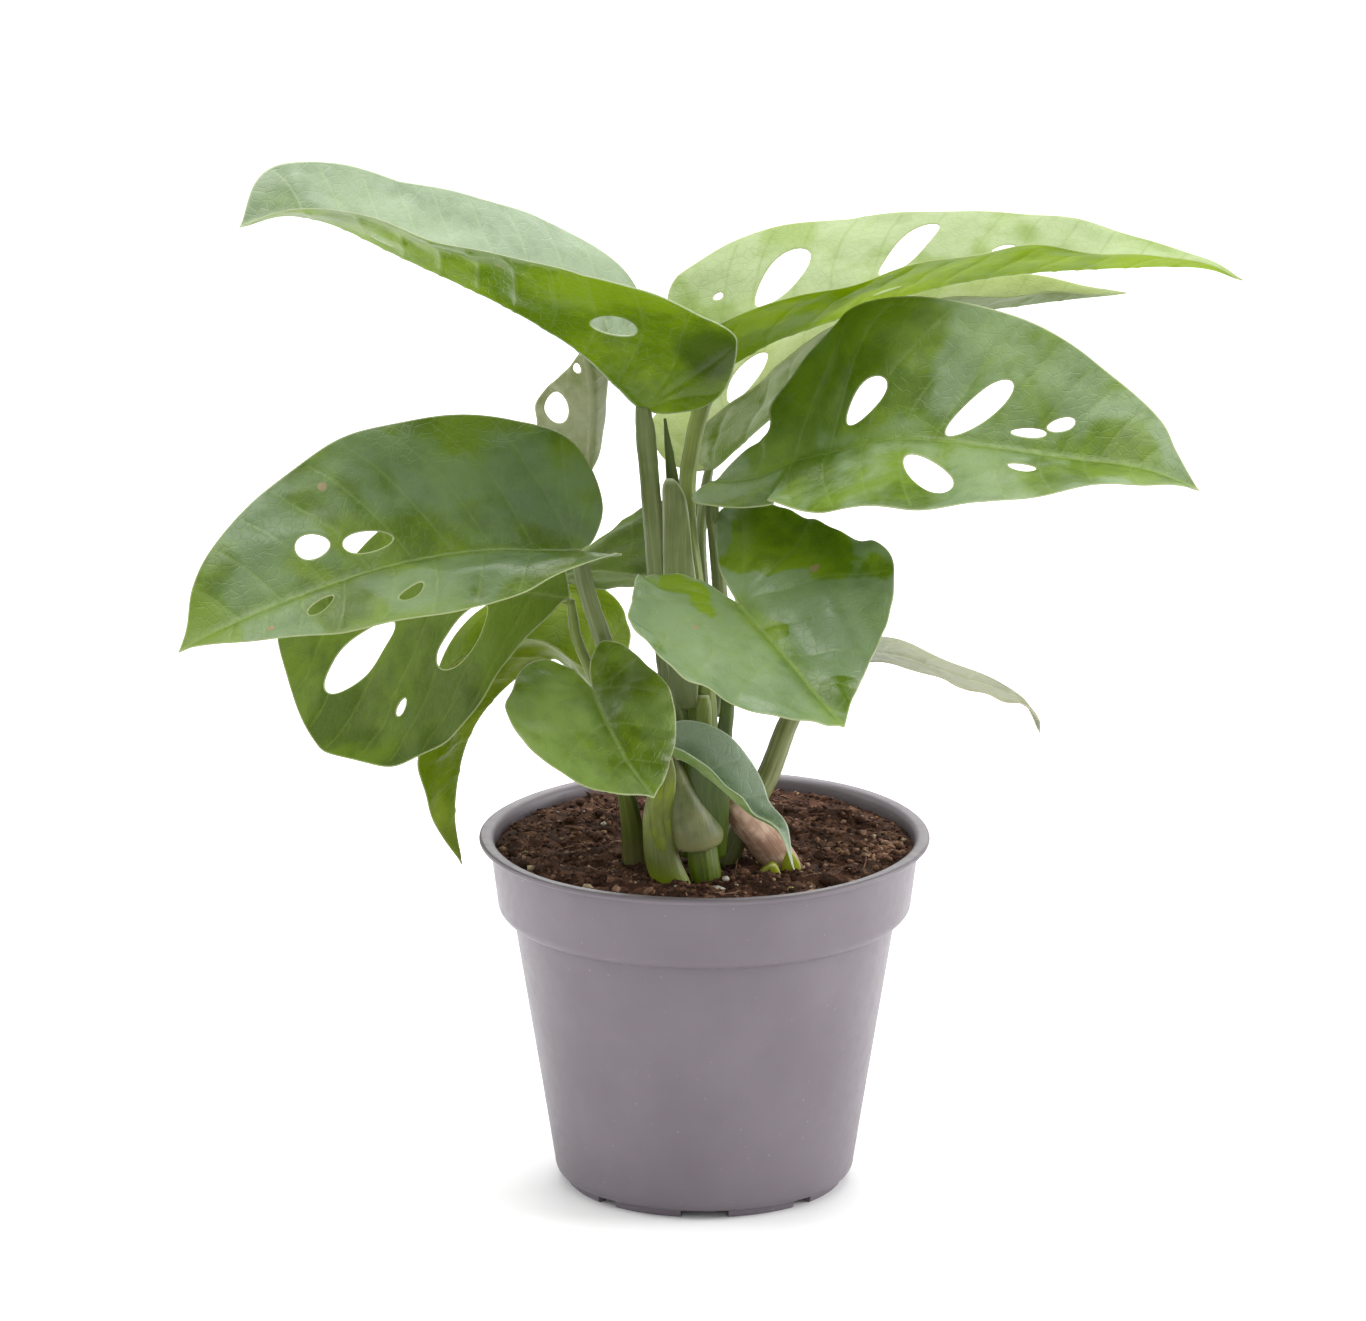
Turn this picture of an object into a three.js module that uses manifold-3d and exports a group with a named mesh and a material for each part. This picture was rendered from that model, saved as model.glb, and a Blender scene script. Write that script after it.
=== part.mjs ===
// Potted swiss cheese vine: a young Monstera in a grey 12 cm nursery pot
// Millimetres, +Z up, +X to the right, +Y away from the front.
// The origin is the centre of the pot's footprint, on the plane that its feet stand on.

import * as THREE from 'three';
import { mergeVertices } from 'three/addons/utils/BufferGeometryUtils.js';
import Module from 'manifold-3d';

const wasm = await Module();
wasm.setup();

// Driving dimensions of the pot
const RIM_RADIUS = 60;
const POT_HEIGHT = 95.5;
const WALL = 1.2;
const LIP_WIDTH = 2.8;
const BAND_DEPTH = 17.8;
const BAND_DRAFT = 2.1;
const SHOULDER_DEPTH = 7;
const SHOULDER_STEP = 4.2;
const WALL_FOOT_RADIUS = 39.9;
const BASE_RADIUS = 36.8;
const BASE_CORNER_HEIGHT = 3.8;
const FOOT_HEIGHT = 2;
const FOOT_WIDTH = 3;
const FOOT_ARCS = [[10, 40], [50, 80]];
const DRAIN_RADIUS = 3.5;
const DRAIN_CIRCLE_RADIUS = 27;
const DRAIN_COUNT = 8;
const POT_SEGMENTS = 40;

// Driving dimensions of the mix and the plant
const SOIL_EDGE_DROP = 3;
const SOIL_CROWN = 1;
const CLEARANCE = 0.3;
const JOINT_GAP = 0.8;
const BLADE_THICKNESS = 0.9;
const VEIN_SLANT = 0.5;
const RIB_SPACING = 12;
const LOBE_RIBS = 6;
const RINGS = [0, 0.5, 1];
const MARGIN_DETAIL = 16;
const HOLE_REACH = 2;
const HOLE_SIDES = 10;
const STALK_STEP = 9;
const STALK_SIDES = 8;

// Colours, as they read in daylight
const COLOURS = {
  pot: '#858085',
  soil: '#3a2a22',
  leaf: '#5f8a3c',
  leafYoung: '#6f9b62',
  leafPale: '#a3b888',
  petiole: '#7f9460',
  stem: '#5c7434',
  sheath: '#6d7a55',
  wood: '#9a7560',
  stub: '#8f9a25',
};

// Half outlines of a blade, from the sinus round the lobe to the tip. Each pair is a share of the
// lobe's reach (behind the joint) or of the midrib's length (ahead of it), and of the half width.
const ROUND_LOBE = [[0, 0], [-0.55, 0.1], [-1, 0.36], [-0.75, 0.64], [0, 0.86], [0.14, 0.98], [0.3, 1]];
const HEART = [[0, 0], [-0.6, 0.12], [-1, 0.36], [-0.7, 0.66], [0.02, 0.92], [0.13, 1], [0.29, 0.99],
  [0.5, 0.86], [0.69, 0.63], [0.83, 0.38], [0.925, 0.16], [1, 0]];
const OVATE = [...ROUND_LOBE, [0.5, 0.87], [0.69, 0.63], [0.83, 0.38], [0.925, 0.16], [1, 0]];
const BLUNT = [...ROUND_LOBE, [0.45, 0.88], [0.6, 0.72], [0.75, 0.57], [0.86, 0.45], [0.93, 0.33], [1, 0]];
const FULL = [...ROUND_LOBE, [0.5, 0.93], [0.68, 0.76], [0.82, 0.55], [0.9, 0.36], [0.955, 0.14], [1, 0]];
const BROAD_TIP = [...ROUND_LOBE, [0.5, 0.91], [0.69, 0.7], [0.83, 0.46], [0.925, 0.22], [1, 0]];
const TAPERED = [...ROUND_LOBE, [0.5, 0.8], [0.69, 0.5], [0.83, 0.28], [0.925, 0.12], [1, 0]];
const EARED = [[0, 0], [0.03, 0.14], [0.065, 0.24], [0.1, 0.27], [0.128, 0.29], [0.138, 0.35],
  [0.142, 0.46], [0.165, 0.6], [0.2, 0.8], [0.27, 0.96], [0.39, 1], [0.55, 0.94], [0.68, 0.8], [0.8, 0.6],
  [0.88, 0.4], [0.93, 0.2], [1, 0]];
const NARROW_FOOT = [[0, 0], [-0.6, 0.08], [-1, 0.2], [-0.6, 0.3], [0.06, 0.4], [0.12, 0.5], [0.2, 0.68],
  [0.3, 0.9], [0.4, 1], [0.5, 0.99], [0.58, 0.93], [0.73, 0.76], [0.85, 0.55], [0.915, 0.36], [0.96, 0.14],
  [1, 0]];
const DROOPED = [[0, 0], [0.07, 0.27], [0.21, 0.66], [0.31, 0.87], [0.42, 0.96], [0.54, 1], [0.66, 0.91],
  [0.79, 0.79], [0.9, 0.48], [1, 0]];
const WEDGE = [[0, 0], [0.1, 0.19], [0.2, 0.38], [0.3, 0.58], [0.42, 0.82], [0.54, 1], [0.66, 0.97],
  [0.79, 0.82], [0.9, 0.5], [1, 0]];
const SLIM = [[0, 0], [-0.5, 0.15], [-1, 0.45], [-0.5, 0.75], [0.05, 0.9], [0.2, 1], [0.4, 0.95],
  [0.6, 0.68], [0.78, 0.34], [0.9, 0.13], [1, 0]];

// Every blade: its midrib from the petiole joint to the tip, and for each half the half width, the
// lobe's reach behind the joint, the outline, the lift above level at four stations from joint to
// tip in degrees, and the holes as [along, out, half length, half width, turn in degrees].
const BLADES = {
  upper_left: {
    midrib: [[-16, -28, 221.5], [-23, -30, 229.5], [-34, -32, 240], [-53.5, -35, 252.5], [-79.5, -39, 266],
      [-96.5, -42, 275], [-109.5, -44, 278], [-121.5, -45, 275]],
    left: { width: 37.5, reach: 9, outline: HEART, lift: [62, 35, 26, 14],
      holes: [[24, 15, 5.5, 4.5, 125], [86.5, 5, 3.5, 1.4, 10]] },
    right: { width: 39, reach: 11, outline: BLUNT, lift: [32, 30, 34, 52],
      holes: [[92, 5.5, 1.4, 1.2, 0]] },
  },
  upper_right: {
    midrib: [[4.5, -10, 228], [17, -9, 235], [33, -6, 240], [51.5, -2, 245.5], [77.5, 3, 249.5],
      [107, 8, 250], [130.5, 12, 249], [142.5, 13, 245]],
    left: { width: 38, reach: 9, outline: OVATE, lift: [40, 20, 16, 12],
      holes: [[24.5, 20, 12, 4.6, 38], [58, 18.5, 13, 3.8, 43], [81.5, 11.5, 4, 2, 30],
        [7, 22, 1.4, 1.2, 0]] },
    right: { width: 33, reach: 9, outline: OVATE, lift: [34, 30, 28, 25], holes: [[47, 8, 4, 1.5, 15]] },
  },
  back_right: {
    midrib: [[1, 8, 194.5], [10.5, 12, 202.5], [22, 17, 211], [38.5, 21, 222.5], [62.5, 25, 231.5],
      [89, 28, 235], [112, 30, 237]],
    left: { width: 31, reach: 6, outline: OVATE, lift: [22, 12, 12, 14], holes: [[25, 18, 8.5, 3.8, 34]] },
    right: { width: 26, reach: 2, outline: OVATE, lift: [56, 40, 28, 20], holes: [] },
  },
  right: {
    midrib: [[2, -22, 199], [9.5, -23.5, 200], [16, -25, 202], [23.5, -27, 206], [35.5, -34, 211],
      [50, -42, 216.5], [71.5, -52, 217.5], [93.5, -62, 217], [113.5, -70, 216.5], [128.5, -76, 212.5]],
    left: { width: 39.5, reach: 0, outline: EARED, lift: [50, 62, 60, 40],
      holes: [[46, 12.5, 7.5, 3.8, 40], [77, 10.5, 11, 3.8, 45], [92, 5.8, 5, 1.2, 5],
        [100.5, 9.2, 4, 1.8, 20]] },
    right: { width: 37, reach: 4, outline: NARROW_FOOT, lift: [-14, -17, -11, 4],
      holes: [[72, 17, 12, 4.6, 42], [96.5, 11.2, 4.4, 2.3, 20]] },
  },
  front: {
    midrib: [[8.5, -50, 174], [15.5, -62, 169.5], [23.5, -74, 163.5], [30.5, -83, 157], [36.5, -89, 152]],
    left: { width: 39.5, reach: 33, outline: TAPERED, lift: [30, 26, 16, 10], holes: [] },
    right: { width: 39, reach: 16, outline: BROAD_TIP, lift: [10, 6, 2, 0], holes: [] },
  },
  left: {
    midrib: [[-33.5, -32, 183], [-43.5, -36, 184.5], [-56.5, -41, 186], [-72, -48, 186], [-87.5, -56, 184.5],
      [-105.5, -63, 180], [-124, -70, 174], [-137.5, -74, 168]],
    left: { width: 31, reach: 5, outline: OVATE, lift: [12, -10, -18, -14],
      holes: [[76.5, 7, 4.5, 1.8, 20], [54.5, 14.5, 4.5, 1.8, 30]] },
    right: { width: 40, reach: 10, outline: FULL, lift: [50, 51, 50, 40],
      holes: [[71, 11.8, 4.5, 3.3, 10], [56.5, 8.6, 7, 3, 5]] },
  },
  under_left: {
    midrib: [[-35.5, -20, 166.5], [-49, -10, 165.5], [-67.5, 4, 159], [-86.5, 18, 150.5], [-102.5, 30, 143.5],
      [-114, 38, 139]],
    left: { width: 46, reach: 4, outline: DROOPED, lift: [-52, -58, -58, -55],
      holes: [[70.5, 11.5, 13.5, 5.8, 34], [33.5, 12, 10.5, 5.8, 48], [54, 29, 2.6, 1.2, 60]] },
    right: { width: 36, reach: 0, outline: DROOPED, lift: [40, 45, 45, 40], holes: [] },
  },
  hanging: {
    midrib: [[-32.5, 12, 136.5], [-39.5, 14, 141.5], [-46.5, 16, 138.5], [-55, 19, 130.5], [-62, 21, 120.5],
      [-66, 22, 109], [-67.5, 22, 94], [-65.5, 22, 80]],
    upAtBase: [-0.2, 0, 1],
    upAtTip: [-1, 0, 0.2],
    left: { width: 24, reach: 6, outline: OVATE, lift: [30, 40, 36, 30], holes: [] },
    right: { width: 26, reach: 6, outline: OVATE, lift: [30, 40, 40, 30], holes: [] },
  },
  small_front: {
    midrib: [[-29.5, -48, 150], [-25.5, -56, 143], [-19.5, -64, 134], [-13, -70, 127]],
    left: { width: 19, reach: 13, outline: FULL, lift: [24, 16, 8, 0], holes: [] },
    right: { width: 29, reach: 10, outline: FULL, lift: [10, 6, 4, 0], holes: [] },
  },
  young: {
    midrib: [[-9.5, -44, 132], [-3, -46, 129.5], [4.5, -49, 124], [12.5, -52, 117.5], [20, -54, 113],
      [24, -55, 102.5]],
    left: { width: 12, reach: 3, outline: SLIM, lift: [50, 46, 40, 30], holes: [] },
    right: { width: 8, reach: 3, outline: SLIM, lift: [40, 40, 30, 10], holes: [] },
  },
  low_right: {
    midrib: [[35.5, 4, 144.5], [42, 6, 144.5], [53.5, 8, 142], [65.5, 10, 137], [76, 12, 133],
      [85.5, 14, 128], [90, 15, 119]],
    left: { width: 17, reach: 5, outline: BLUNT, lift: [4, 0, 0, 0], holes: [] },
    right: { width: 16, reach: 5, outline: FULL, lift: [4, 2, 0, 0], holes: [] },
  },
  back_pale: {
    midrib: [[-32, 4, 229], [-30.5, 10, 218.5], [-30, 16, 208.5], [-30.5, 21, 197], [-33, 26, 184]],
    upAtBase: [0, 1, 0.2],
    upAtTip: [0, 1, 0.2],
    left: { width: 16, reach: 0, outline: WEDGE, lift: [30, 25, 20, 0],
      holes: [[26.5, 9.8, 5, 3.4, 6], [8.5, 2.9, 2.2, 1.1, 10]] },
    right: { width: 8, reach: 2, outline: OVATE, lift: [70, 70, 60, 30], holes: [] },
  },
  back_mid: {
    midrib: [[-15, -6, 168.5], [-22.5, 1.5, 167.5], [-29, 7, 166.5], [-37, 14, 163.5], [-44, 18, 161]],
    left: { width: 16, reach: 8, outline: OVATE, lift: [0, 0, 0, 0], holes: [] },
    right: { width: 30, reach: 8, outline: FULL, lift: [30, 30, 26, 10], holes: [[36, 20, 2.2, 1.4, 0]] },
  },
};

// Every petiole: its radius and its path from the stem or the soil up to the blade, whose joint ends it
const PETIOLES = {
  upper_left: { radius: 2.8, path: [[-5.5, -28, 122], [-7.5, -28, 135], [-9.5, -28, 154.5],
    [-11.5, -28, 171], [-14, -28.5, 194]] },
  upper_right: { radius: 2.4, path: [[1, -27, 125], [0, -26, 142], [-2, -23.5, 166], [-4.5, -19, 182.5],
    [-5, -17.5, 193], [-4.5, -14.5, 202], [-1.5, -12, 216]] },
  back_right: { radius: 1.7, path: [[0, -20, 141], [-0.5, -13.5, 164.5], [-1, -6, 180], [0, 3, 188]] },
  right: { radius: 2.3, path: [[2, -22, 135], [4.6, -18.5, 152], [4, -18, 168], [3, -18.5, 180],
    [2, -20.5, 190]] },
  front: { radius: 2.3, path: [[1, -30, 118], [4, -34, 138], [6, -41, 157]] },
  left: { radius: 2.8, path: [[-3, -28, 116], [-13, -29, 129.5], [-22, -30, 144], [-27.5, -31, 160.5],
    [-31, -32, 172]] },
  under_left: { radius: 1.6, path: [[-3, -24, 110], [-14.5, -21, 121], [-24.5, -20, 135],
    [-30.5, -20, 147.5], [-34, -20, 156.5]] },
  hanging: { radius: 1.6, path: [[-3, -22, 104], [-15.5, -10, 114], [-24.5, 0.5, 124.5], [-30, 8.5, 132.5]] },
  small_front: { radius: 2.6, path: [[-17, -17, 82], [-17.5, -18, 92], [-19, -22, 106], [-23, -32, 125.5],
    [-27.5, -44, 143]] },
  young: { radius: 2.1, path: [[-5, -33, 82], [-6, -34, 91], [-11, -35, 102], [-13, -37, 114],
    [-11.5, -40, 124]] },
  low_right: { radius: 3.3, path: [[5, -18, 92], [8.5, -17, 100], [12.5, -16, 108], [17.5, -12, 117],
    [23, -6, 130], [30, 0, 140]] },
  back_pale: { radius: 1.6, path: [[-4, -19, 138], [-10, -17, 160], [-12.5, -14, 181.5], [-14.5, -11, 205],
    [-16.5, -8.5, 221], [-24, -3, 229.5]] },
  back_mid: { radius: 1.4, path: [[-3, -19, 138], [-7.5, -13, 153.5], [-10.5, -9, 163]] },
};

// Stems, from the mix upwards
const MAIN_STEM = { radius: 3.7, path: [[-1, -30, 70], [-0.5, -29.5, 90], [-1, -27, 107], [-1.5, -26, 124],
  [-2.5, -25, 140], [-4.5, -24, 158]] };
const OLD_STEM = { radius: 3.4, path: [[27, -19, 78], [22.5, -20, 88], [17, -20.5, 97], [11, -21, 106],
  [7, -21.5, 113]] };
const OLD_STUB = { radius: 2, path: [[11, -24, 82], [15, -25, 90], [19.5, -26, 96]] };
const DRIED_SHEATH = { radius: 1.8, path: [[-7.2, -31.5, 126], [-7.8, -31.8, 130.5], [-9.2, -32.8, 137.5]] };
const SHEATH = { outer: 6.6, inner: 4.1, foot: [-1, -31, 101], top: [-2, -28, 116] };
const SPEAR = { footRadius: 2.2, tipRadius: 0.3, foot: [-6, -23, 162], tip: [-10.5, -21, 216] };

// Small helpers

const vector = ([x, y, z]) => new THREE.Vector3(x, y, z);

const radians = THREE.MathUtils.degToRad;

// A geometry's corner points with shared ones merged, and its triangles without the flat ones that a
// pole or a tip leaves
function mergedFaces(geometry) {
  const bare = geometry.clone();
  bare.deleteAttribute('normal');
  bare.deleteAttribute('uv');
  const merged = mergeVertices(bare, 1e-4);
  const corners = merged.index.array;
  const faces = [];
  for (let i = 0; i < corners.length; i += 3) {
    const [a, b, c] = corners.slice(i, i + 3);
    if (a !== b && b !== c && c !== a) faces.push(a, b, c);
  }
  return { points: merged.attributes.position, faces };
}

// A closed geometry as a solid for cuts and joins
function toSolid(geometry) {
  const { points, faces } = mergedFaces(geometry);
  return new wasm.Manifold(new wasm.Mesh({
    numProp: 3,
    vertProperties: new Float32Array(points.array),
    triVerts: new Uint32Array(faces),
  }));
}

function fromFaces(positions, faces) {
  const geometry = new THREE.BufferGeometry();
  geometry.setAttribute('position', new THREE.Float32BufferAttribute(positions, 3));
  geometry.setIndex(faces);
  return geometry;
}

function toGeometry(solid) {
  const mesh = solid.getMesh();
  const geometry = new THREE.BufferGeometry();
  geometry.setAttribute('position', new THREE.BufferAttribute(mesh.vertProperties, 3));
  geometry.setIndex(new THREE.BufferAttribute(mesh.triVerts, 1));
  geometry.computeVertexNormals();
  return geometry;
}

function piece(name, geometry, colour, roughness) {
  const material = new THREE.MeshStandardMaterial({ color: colour, roughness, metalness: 0 });
  const mesh = new THREE.Mesh(geometry, material);
  mesh.name = name;
  return mesh;
}

// The pot

// The wall's line from the base to the rim, drawn inset millimetres inside the outer skin
function potWall(inset) {
  const bandTop = RIM_RADIUS - LIP_WIDTH;
  const shoulderTop = POT_HEIGHT - BAND_DEPTH;
  const shoulderFoot = shoulderTop - SHOULDER_DEPTH;
  const bandFoot = bandTop - BAND_DRAFT;
  const wallTop = bandFoot - SHOULDER_STEP;
  const line = new THREE.Path();
  line.moveTo(BASE_RADIUS - inset, FOOT_HEIGHT + inset);
  line.quadraticCurveTo(WALL_FOOT_RADIUS - inset, FOOT_HEIGHT + inset,
    WALL_FOOT_RADIUS - inset, FOOT_HEIGHT + BASE_CORNER_HEIGHT + inset);
  line.lineTo(wallTop - inset, shoulderFoot);
  line.bezierCurveTo(wallTop - inset, shoulderFoot + SHOULDER_DEPTH / 2,
    bandFoot - inset, shoulderTop - SHOULDER_DEPTH / 2, bandFoot - inset, shoulderTop);
  line.lineTo(bandTop - inset, POT_HEIGHT - WALL);
  return line.getPoints(3);
}

function lathe(points) {
  return new THREE.LatheGeometry(points, POT_SEGMENTS).rotateX(Math.PI / 2);
}

function potShell() {
  const outside = potWall(0);
  const inside = potWall(WALL).reverse();
  const lip = [
    new THREE.Vector2(RIM_RADIUS, POT_HEIGHT - WALL),
    new THREE.Vector2(RIM_RADIUS, POT_HEIGHT),
    new THREE.Vector2(inside[0].x, POT_HEIGHT),
  ];
  const underside = new THREE.Vector2(0, FOOT_HEIGHT);
  const floor = new THREE.Vector2(0, FOOT_HEIGHT + WALL);
  return toSolid(lathe([underside, ...outside, ...lip, ...inside.slice(1), floor]));
}

function potFoot(from, to) {
  const arc = new THREE.Shape();
  arc.absarc(0, 0, BASE_RADIUS, radians(from), radians(to), false);
  arc.absarc(0, 0, BASE_RADIUS - FOOT_WIDTH, radians(to), radians(from), true);
  arc.closePath();
  const depth = FOOT_HEIGHT + WALL / 2;
  return toSolid(new THREE.ExtrudeGeometry(arc, { depth, bevelEnabled: false, curveSegments: 6 }));
}

function drainHole(angle) {
  const hole = new THREE.CylinderGeometry(DRAIN_RADIUS, DRAIN_RADIUS, 3 * WALL, 16).rotateX(Math.PI / 2);
  hole.translate(DRAIN_CIRCLE_RADIUS * Math.cos(angle), DRAIN_CIRCLE_RADIUS * Math.sin(angle),
    FOOT_HEIGHT + WALL / 2);
  return toSolid(hole);
}

function pot() {
  let body = potShell();
  for (let quarter = 0; quarter < 360; quarter += 90) {
    for (const [from, to] of FOOT_ARCS) body = body.add(potFoot(quarter + from, quarter + to));
  }
  for (let i = 0; i < DRAIN_COUNT; i += 1) {
    body = body.subtract(drainHole((i * 2 * Math.PI) / DRAIN_COUNT));
  }
  return body;
}

// The potting mix fills the pot, with a pocket for each stem that goes into it
function soil(planted) {
  const surface = POT_HEIGHT - SOIL_EDGE_DROP;
  const side = potWall(WALL + CLEARANCE).filter((point) => point.y < surface - 1);
  const edge = new THREE.Vector2(RIM_RADIUS - LIP_WIDTH - WALL - 2 * CLEARANCE, surface);
  const crown = [
    new THREE.Vector2(edge.x * 0.6, surface + SOIL_CROWN * 0.7),
    new THREE.Vector2(0, surface + SOIL_CROWN),
  ];
  const bottom = new THREE.Vector2(0, FOOT_HEIGHT + WALL + CLEARANCE);
  let body = toSolid(lathe([bottom, ...side, edge, ...crown]));
  for (const stalk of planted) body = body.subtract(stalk.space);
  return body;
}

// Stems and petioles

function tube(path, radius) {
  const curve = new THREE.CatmullRomCurve3(path);
  const section = new THREE.Shape();
  section.absarc(0, 0, radius, 0, 2 * Math.PI, false);
  const steps = Math.max(2, Math.round(curve.getLength() / STALK_STEP));
  return toSolid(new THREE.ExtrudeGeometry(section, {
    steps, curveSegments: STALK_SIDES / 2, extrudePath: curve, bevelEnabled: false,
  }));
}

// A path that runs on past both of its ends by the clearance
function lengthened(path) {
  const beyond = (end, inner) => end.clone().addScaledVector(end.clone().sub(inner).normalize(), CLEARANCE);
  const last = path.length - 1;
  return [beyond(path[0], path[1]), ...path.slice(1, last), beyond(path[last], path[last - 1])];
}

// A stalk with the space that its neighbours must leave it
function stalk(path, radius) {
  return { body: tube(path, radius), space: tube(lengthened(path), radius + CLEARANCE) };
}

// The path of a petiole runs on to its blade and stops short of the joint
function petiolePath(name) {
  const path = PETIOLES[name].path.map(vector);
  const joint = vector(BLADES[name].midrib[0]);
  const direction = joint.clone().sub(path[path.length - 1]).normalize();
  return [...path, joint.addScaledVector(direction, -JOINT_GAP)];
}

function petiole(name) {
  return { name, ...stalk(petiolePath(name), PETIOLES[name].radius) };
}

function straightTaper({ footRadius, tipRadius, foot, tip }) {
  const from = vector(foot);
  const to = vector(tip);
  const length = from.distanceTo(to);
  const cone = new THREE.CylinderGeometry(tipRadius, footRadius, length, STALK_SIDES, 4);
  const direction = to.clone().sub(from).normalize();
  cone.applyQuaternion(new THREE.Quaternion().setFromUnitVectors(new THREE.Vector3(0, 1, 0), direction));
  const middle = from.add(to).multiplyScalar(0.5);
  return toSolid(cone.translate(middle.x, middle.y, middle.z));
}

// Blades

// One half laid flat, as ribs that run from the midrib out to the margin, as the side veins do:
// along the midrib, out from it. The first ribs all start at the joint and fan out over the lobe.
function flatRibs(half, length) {
  const spline = new THREE.SplineCurve(half.outline.map(([along, out]) => new THREE.Vector2(
    along * (along < 0 ? half.reach : length), out * half.width)));
  const margin = spline.getPoints(MARGIN_DETAIL * half.outline.length);
  const rootOf = (edge) => edge.x - VEIN_SLANT * edge.y;
  const shoulder = 1 + margin.slice(1).findIndex((edge) => rootOf(edge) >= 0);
  const edges = [];
  const roots = [];
  for (let i = 0; i <= LOBE_RIBS; i += 1) {
    edges.push(margin[Math.round((shoulder * i) / LOBE_RIBS)]);
    roots.push(0);
  }
  const stations = Math.round(length / RIB_SPACING);
  for (let i = 1; i < stations; i += 1) {
    const root = (length * i) / stations;
    edges.push(margin.slice(shoulder).find((edge) => rootOf(edge) >= root));
    roots.push(root);
  }
  edges.push(margin[margin.length - 1]);
  roots.push(length);
  return edges.map((edge, i) => RINGS.map((ring) => (
    [THREE.MathUtils.lerp(roots[i], edge.x, ring), edge.y * ring])));
}

// Both halves as one sheet, joined along the midrib
function flatBlade(blade, length) {
  const positions = [];
  const faces = [];
  for (const [half, side] of [[blade.left, 1], [blade.right, -1]]) {
    const first = positions.length / 3;
    const ribs = flatRibs(half, length);
    for (const rib of ribs) rib.forEach(([along, out]) => positions.push(along, side * out, 0));
    for (let i = 0; i + 1 < ribs.length; i += 1) {
      for (let j = 0; j + 1 < RINGS.length; j += 1) {
        const near = first + i * RINGS.length + j;
        const far = near + RINGS.length;
        const quad = side > 0 ? [near, far, far + 1, near + 1] : [near, near + 1, far + 1, far];
        faces.push(quad[0], quad[1], quad[2], quad[0], quad[2], quad[3]);
      }
    }
  }
  return mergedFaces(fromFaces(positions, faces));
}

// The lift angle of a half blade at a share of the midrib, between its equally spaced stations
function liftAt(stations, share) {
  const place = share * (stations.length - 1);
  const station = Math.min(Math.floor(place), stations.length - 2);
  return radians(THREE.MathUtils.lerp(stations[station], stations[station + 1], place - station));
}

// A function that folds a point of the flat sheet, at a height above it, to its place in space
function folding(blade, midrib, length) {
  const upAtBase = vector(blade.upAtBase ?? [0, 0, 1]);
  const upAtTip = vector(blade.upAtTip ?? [0, 0, 1]);
  return (along, out, height) => {
    const share = THREE.MathUtils.clamp(along / length, 0, 1);
    const point = midrib.getPointAt(share);
    const forward = midrib.getTangentAt(share);
    const up = upAtBase.clone().lerp(upAtTip, share);
    const left = up.cross(forward).normalize();
    const normal = forward.clone().cross(left);
    const half = out > 0 ? blade.left : blade.right;
    const lift = out === 0 ? 0 : liftAt(half.lift, share);
    const side = Math.sign(out);
    point.addScaledVector(forward, Math.min(along, 0));
    point.addScaledVector(left, out * Math.cos(lift) - side * height * Math.sin(lift));
    return point.addScaledVector(normal, Math.abs(out) * Math.sin(lift) + height * Math.cos(lift));
  };
}

// The sheet with a thickness: its upper and lower faces, and a wall along every open edge
function thicken({ points, faces }, fold) {
  const positions = [];
  for (const height of [BLADE_THICKNESS / 2, -BLADE_THICKNESS / 2]) {
    for (let i = 0; i < points.count; i += 1) positions.push(...fold(points.getX(i), points.getY(i), height));
  }
  const under = points.count;
  const edges = new Set();
  const skin = [];
  for (let i = 0; i < faces.length; i += 3) {
    const [a, b, c] = faces.slice(i, i + 3);
    skin.push(a, b, c, c + under, b + under, a + under);
    for (const [from, to] of [[a, b], [b, c], [c, a]]) edges.add(`${from},${to}`);
  }
  for (const edge of edges) {
    const [from, to] = edge.split(',').map(Number);
    if (!edges.has(`${to},${from}`)) skin.push(to, from, from + under, to, from + under, to + under);
  }
  return toSolid(fromFaces(positions, skin));
}

// A plug of a hole's outline, folded with the blade and taller than the blade is thick
function holePlug([along, out, halfLength, halfWidth, turn], side, fold) {
  const outline = new THREE.Shape();
  outline.absellipse(along, side * out, halfLength, halfWidth, 0, 2 * Math.PI, false, side * radians(turn));
  const plug = new THREE.ExtrudeGeometry(outline, {
    depth: 2 * HOLE_REACH, curveSegments: HOLE_SIDES / 2, bevelEnabled: false,
  });
  const points = plug.attributes.position;
  for (let i = 0; i < points.count; i += 1) {
    points.setXYZ(i, ...fold(points.getX(i), points.getY(i), points.getZ(i) - HOLE_REACH));
  }
  return toSolid(plug);
}

// A blade with its holes, which leaves its petiole room at the joint
function bladeSolid(name) {
  const blade = BLADES[name];
  const midrib = new THREE.CatmullRomCurve3(blade.midrib.map(vector), false, 'catmullrom');
  const length = midrib.getLength();
  const fold = folding(blade, midrib, length);
  let body = thicken(flatBlade(blade, length), fold);
  for (const hole of blade.left.holes) body = body.subtract(holePlug(hole, 1, fold));
  for (const hole of blade.right.holes) body = body.subtract(holePlug(hole, -1, fold));
  return body.subtract(petioles.find((petiole) => petiole.name === name).space);
}

// The whole plant in its pot

const plant = new THREE.Group();

const mainStem = stalk(MAIN_STEM.path.map(vector), MAIN_STEM.radius);
const oldStem = stalk(OLD_STEM.path.map(vector), OLD_STEM.radius);
const oldStub = stalk(OLD_STUB.path.map(vector), OLD_STUB.radius);
const petioles = Object.keys(PETIOLES).map(petiole);

// Each stalk gives way to those before it, so that crowded ones lie against each other with a gap
function givesWay(stalks) {
  stalks.forEach((later, i) => {
    for (const earlier of stalks.slice(0, i)) later.body = later.body.subtract(earlier.space);
  });
}

givesWay([mainStem, ...petioles, oldStem, oldStub]);

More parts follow.
